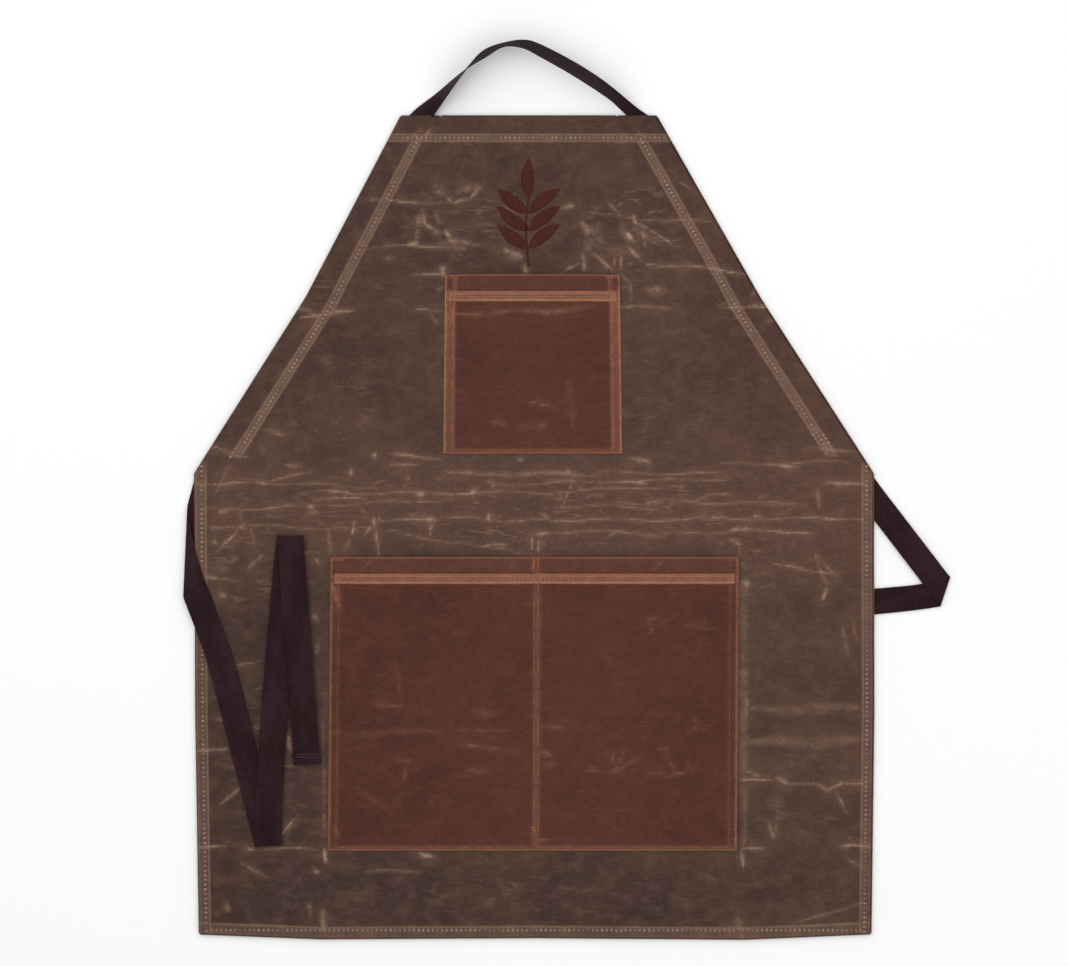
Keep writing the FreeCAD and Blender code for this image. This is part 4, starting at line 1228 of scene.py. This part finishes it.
def stitching(name, rows, tree, material, pitch=4.5, long=2.1, wide=3.3, high=0.3, seed=1):
    """Rows of stitches, each a small rounded bead that dips into the cloth at both ends.

    A row is (points, under) or (points, under, share): the line that it follows, whether it is on
    the underside, and the share of the full width that its stitches have.
    """
    rng = random.Random(seed)
    points, faces, place = [], [], []
    for line, under, *narrowed in rows:
        girth_share = narrowed[0] if narrowed else 1.0
        for (x0, y0), (x1, y1) in zip(line, line[1:]):
            length = math.hypot(x1 - x0, y1 - y0)
            count = max(1, round(length / pitch))
            ux, uy = (x1 - x0) / length, (y1 - y0) / length
            for i in range(count):
                at = (i + 0.5) / count * length + rng.uniform(-0.15, 0.15)
                drift = rng.uniform(-0.13, 0.13)
                turn = rng.uniform(-0.07, 0.07)
                dx, dy = ux - uy * turn, uy + ux * turn
                cx, cy = x0 + ux * at - uy * drift, y0 + uy * at + ux * drift
                z = surface_z(tree, cx, cy, under)
                if z is None:
                    continue
                up = -1 if under else 1
                half = long / 2 * rng.uniform(0.92, 1.06)
                start = len(points)
                for along, girth, rise in BEAD:
                    for k in range(SIDES):
                        a = 2 * math.pi * k / SIDES
                        side = math.cos(a) * girth * wide / 2 * girth_share
                        top = (math.sin(a) * girth + rise) * high * (0.3 if under else 1)
                        points.append(
                            (
                                cx + dx * half * along - dy * side,
                                cy + dy * half * along + dx * side,
                                z + up * top,
                            )
                        )
                        place.append((cx, cy + side, half * along + side * 0.6 + 5 * i))
                for r in range(len(BEAD) - 1):
                    for k in range(SIDES):
                        a, b = start + r * SIDES + k, start + r * SIDES + (k + 1) % SIDES
                        quad = (a, b, b + SIDES, a + SIDES)
                        faces.append(quad[::-1] if under else quad)
                first = tuple(range(start, start + SIDES))
                last = tuple(range(start + (len(BEAD) - 1) * SIDES, start + len(BEAD) * SIDES))
                faces.append(first if under else first[::-1])
                faces.append(last[::-1] if under else last)
    return new_piece(name, points, faces, material, place)


def seam(name, body, rows, tree, thread, *sizes, seed=1):
    """The stitches of one seam as a piece, on one body or, with body None, across the waist."""
    piece = stitching(f"{name}_stitches", rows, tree, thread, *sizes, seed=seed)
    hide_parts(f"{name}_stitching")
    if body:
        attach(piece, body)
    else:
        across_waist(piece)
    return piece


def both(line):
    return [(line, False), (line, True)]


def edge_line(side, inward, *heights):
    """A line that keeps its distance from a side edge, through these heights."""
    xs, sign = (LEFT_X, 1) if side == "left" else (RIGHT_X, -1)
    return [(float(edge_x(y, xs) + sign * inward / edge_cosine(y)), y) for y in heights]


def tack(x, y, dx, dy, rows=3, gap=0.9):
    """A short bar of close stitches where a seam is sewn back over itself."""
    length = math.hypot(dx, dy)
    nx, ny = -dy / length * gap, dx / length * gap
    lines = []
    for k in range(rows):
        shift = k - (rows - 1) / 2
        at_x, at_y = x + nx * shift, y + ny * shift
        ends = [(at_x, at_y), (x + dx + nx * shift, y + dy + ny * shift)]
        lines.append((ends, False))
    return lines


top_y = HALF_LENGTH - TOP_ROW
seam("top_hem", "bib", both([(-137, top_y), (127, top_y)]), CLOTH_TREE, TAN_THREAD)
for side, sign in (("left", -1), ("right", 1)):
    line = edge_line(side, HEM_ROW, -391, EDGE_Y[3], WAIST_Y - 5)
    rows = both([*line, (line[-1][0], WAIST_Y + 9)])
    seam(f"{side}_side_hem", "skirt", rows, CLOTH_TREE, TAN_THREAD, seed=3 + sign)
    end = 68 if side == "left" else 74
    heights = (374, EDGE_Y[1] + 16, EDGE_Y[1] - 16, end)
    rows = both(edge_line(side, SEAM_ROW, *heights))
    for inward in SEAM_RIDGES:
        rows += [(edge_line(side, inward, end + 16, end - 3), False)]
    seam(f"{side}_casing", None, rows, CLOTH_TREE, TAN_THREAD, 4.3, seed=7 + sign)
foot_y = HEM_ROW - HALF_LENGTH
seam("bottom_hem", "skirt", both([(-316, foot_y), (316, foot_y)]), CLOTH_TREE, TAN_THREAD, seed=11)


def pocket_rows(box):
    left, right, low, top = box
    rows = [([(left + 8.5, low + 3.5), (right - 8.5, low + 3.5)], False, 0.7)]
    for step, share in ((1.8, 0.8), (7.8, 0.95 if box is CHEST else 0.4)):
        rows.append(([(left + step, low + 3.5), (left + step, top - 1)], False, share))
        rows.append(([(right - step, low + 3.5), (right - step, top - 1)], False, share))
    return rows


def all_leaned(rows, box):
    return [([(leaned(x, y, box), y) for x, y in line], *rest) for line, *rest in rows]


pocket_seams = (("chest_pocket", CHEST, "bib"), ("lower_pocket", LOWER, "skirt"))
# pitch, then how long, wide and high a stitch is
edge_stitch = (2.1, 0.9, 2.2, 0.26)
band_stitch = (2.6, 1.6, 1.0, 0.22)
for name, box, body in pocket_seams:
    rows = pocket_rows(box)
    rows += tack(box[0] + 1, box[3] - 2.4, 13, 0) + tack(box[1] - 14, box[3] - 2.4, 13, 0)
    seam(name, body, all_leaned(rows, box), FRONT_TREE, ORANGE_THREAD, *edge_stitch, seed=20)
for name, box, body in pocket_seams:
    spans = [(box[0] + 10.5, box[1] - 10.5)]
    if box is LOWER:
        spans = [(box[0] + 10.5, DIVIDER_X - 4.5), (DIVIDER_X + 4.5, box[1] - 10.5)]
    rows = [
        ([(a, box[3] - down), (b, box[3] - down)], False) for a, b in spans for down in (20.4, 22.7)
    ]
    seam(f"{name}_hem", body, all_leaned(rows, box), FRONT_TREE, BAND_THREAD, *band_stitch, seed=22)
rows = [([(DIVIDER_X + d, LOWER[2] + 4.5), (DIVIDER_X + d, LOWER[3] - 1)], False) for d in (-2, 2)]
rows += tack(DIVIDER_X - 3, LOWER[3] - 14, 0, 12, 3, 1.4) + tack(DIVIDER_X - 3, LOWER[2] + 6, 0, 17, 3, 1.2)
seam("pocket_divider", "skirt", rows, FRONT_TREE, ORANGE_THREAD, 2.1, 0.9, 1.8, 0.26, seed=24)
rows = []
for up in (9.2, 6.6):
    end_y = left_end[1] + up
    rows.append(([(left_end[0] - 11.5, end_y), (left_end[0] + 12, end_y)], False))
row = seam("left_tie_end", "left_tie_third_run", rows, END_TREE, DARK_THREAD, 2.9, 2.1, 0.9, 0.28, seed=25)


def sprig():
    """A plain sprig printed on the bib: a stem, pairs of leaves up it, and one at its tip."""
    base_x, base_y, stem = -5.0, 250.0, 68.0
    leaf_length = 38.0
    points, faces = [], []

    def blade(x, y, angle, length, width_at, steps=20, sides=4):
        start = len(points)
        ux, uy = math.cos(angle), math.sin(angle)
        for i in range(steps + 1):
            t = i / steps
            bend = 0.04 * length * math.sin(math.pi * t)
            for k in range(sides + 1):
                v = (k / sides * 2 - 1) * width_at(t)
                px = x + ux * length * t - uy * (v + bend)
                py = y + uy * length * t + ux * (v + bend)
                points.append((px, py, surface_z(CLOTH_TREE, px, py) + 0.07))
        faces.extend(grid_faces(steps + 1, sides + 1, start).tolist())

    def leaf_width(t):
        return 0.25 + 5.9 * math.sin(math.pi * t**0.9) ** 0.85 if 0 < t < 1 else 0.2

    blade(base_x, base_y, math.pi / 2, stem, lambda t: 1.25 - 0.5 * t, 24, 2)
    for pair in range(3):
        y = base_y + stem * (pair + 1) / 4
        for angle in (38, 142):
            blade(base_x, y, math.radians(angle), leaf_length, leaf_width)
    blade(base_x, base_y + stem - 2.4, math.pi / 2, leaf_length, leaf_width)
    place = np.array(points)
    piece = new_piece("bib_sprig_print", points, faces, INK, place)
    thicken(piece, 0.1)
    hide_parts("bib_print")
    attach(piece, "bib")
    return piece


sprig()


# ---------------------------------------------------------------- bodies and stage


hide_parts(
    "bib_panel",
    "skirt_panel",
    "top_hem",
    "left_side_hem",
    "right_side_hem",
    "bottom_hem",
    "left_casing",
    "right_casing",
)
across_waist(cloth)
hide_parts("chest_pocket", "chest_pocket_hem")
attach(chest, "bib")
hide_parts("lower_pocket", "left_lower_pocket_hem", "right_lower_pocket_hem")
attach(lower, "skirt")


def make_stage():
    """A plain white floor, a bright even surround, a key light and a fill light."""
    mesh = bpy.data.meshes.new("floor")
    half = 6.0
    corners = [(x * half, y * half, 0) for x, y in ((-1, -1), (1, -1), (1, 1), (-1, 1))]
    mesh.from_pydata(corners, [], [(0, 1, 2, 3)])
    floor = bpy.data.objects.new("floor", mesh)
    floor.location.z = -0.0002
    material = bpy.data.materials.new("floor")
    material.use_nodes = True
    shader = material.node_tree.nodes["Principled BSDF"]
    shader.inputs["Base Color"].default_value = (0.86, 0.86, 0.86, 1)
    shader.inputs["Roughness"].default_value = 0.9
    shader.inputs["Specular IOR Level"].default_value = 0.1
    mesh.materials.append(material)
    bpy.context.scene.collection.objects.link(floor)
    world = bpy.data.worlds.new("studio")
    world.use_nodes = True
    background = world.node_tree.nodes["Background"]
    background.inputs[0].default_value = (1, 1, 1, 1)
    background.inputs[1].default_value = 0.85
    bpy.context.scene.world = world
    for name, place, size, power in (
        ("key_light", (-0.7, 1.5, 1.9), 3.0, 28),
        ("fill_light", (1.6, -0.8, 1.8), 2.0, 8),
    ):
        data = bpy.data.lights.new(name, "AREA")
        data.size = size
        data.energy = power
        lamp = bpy.data.objects.new(name, data)
        lamp.location = place
        lamp.rotation_mode = "QUATERNION"
        lamp.rotation_quaternion = (-Vector(place)).to_track_quat("-Z", "Y")
        bpy.context.scene.collection.objects.link(lamp)
    bpy.context.scene.view_settings.view_transform = "Standard"


make_stage()
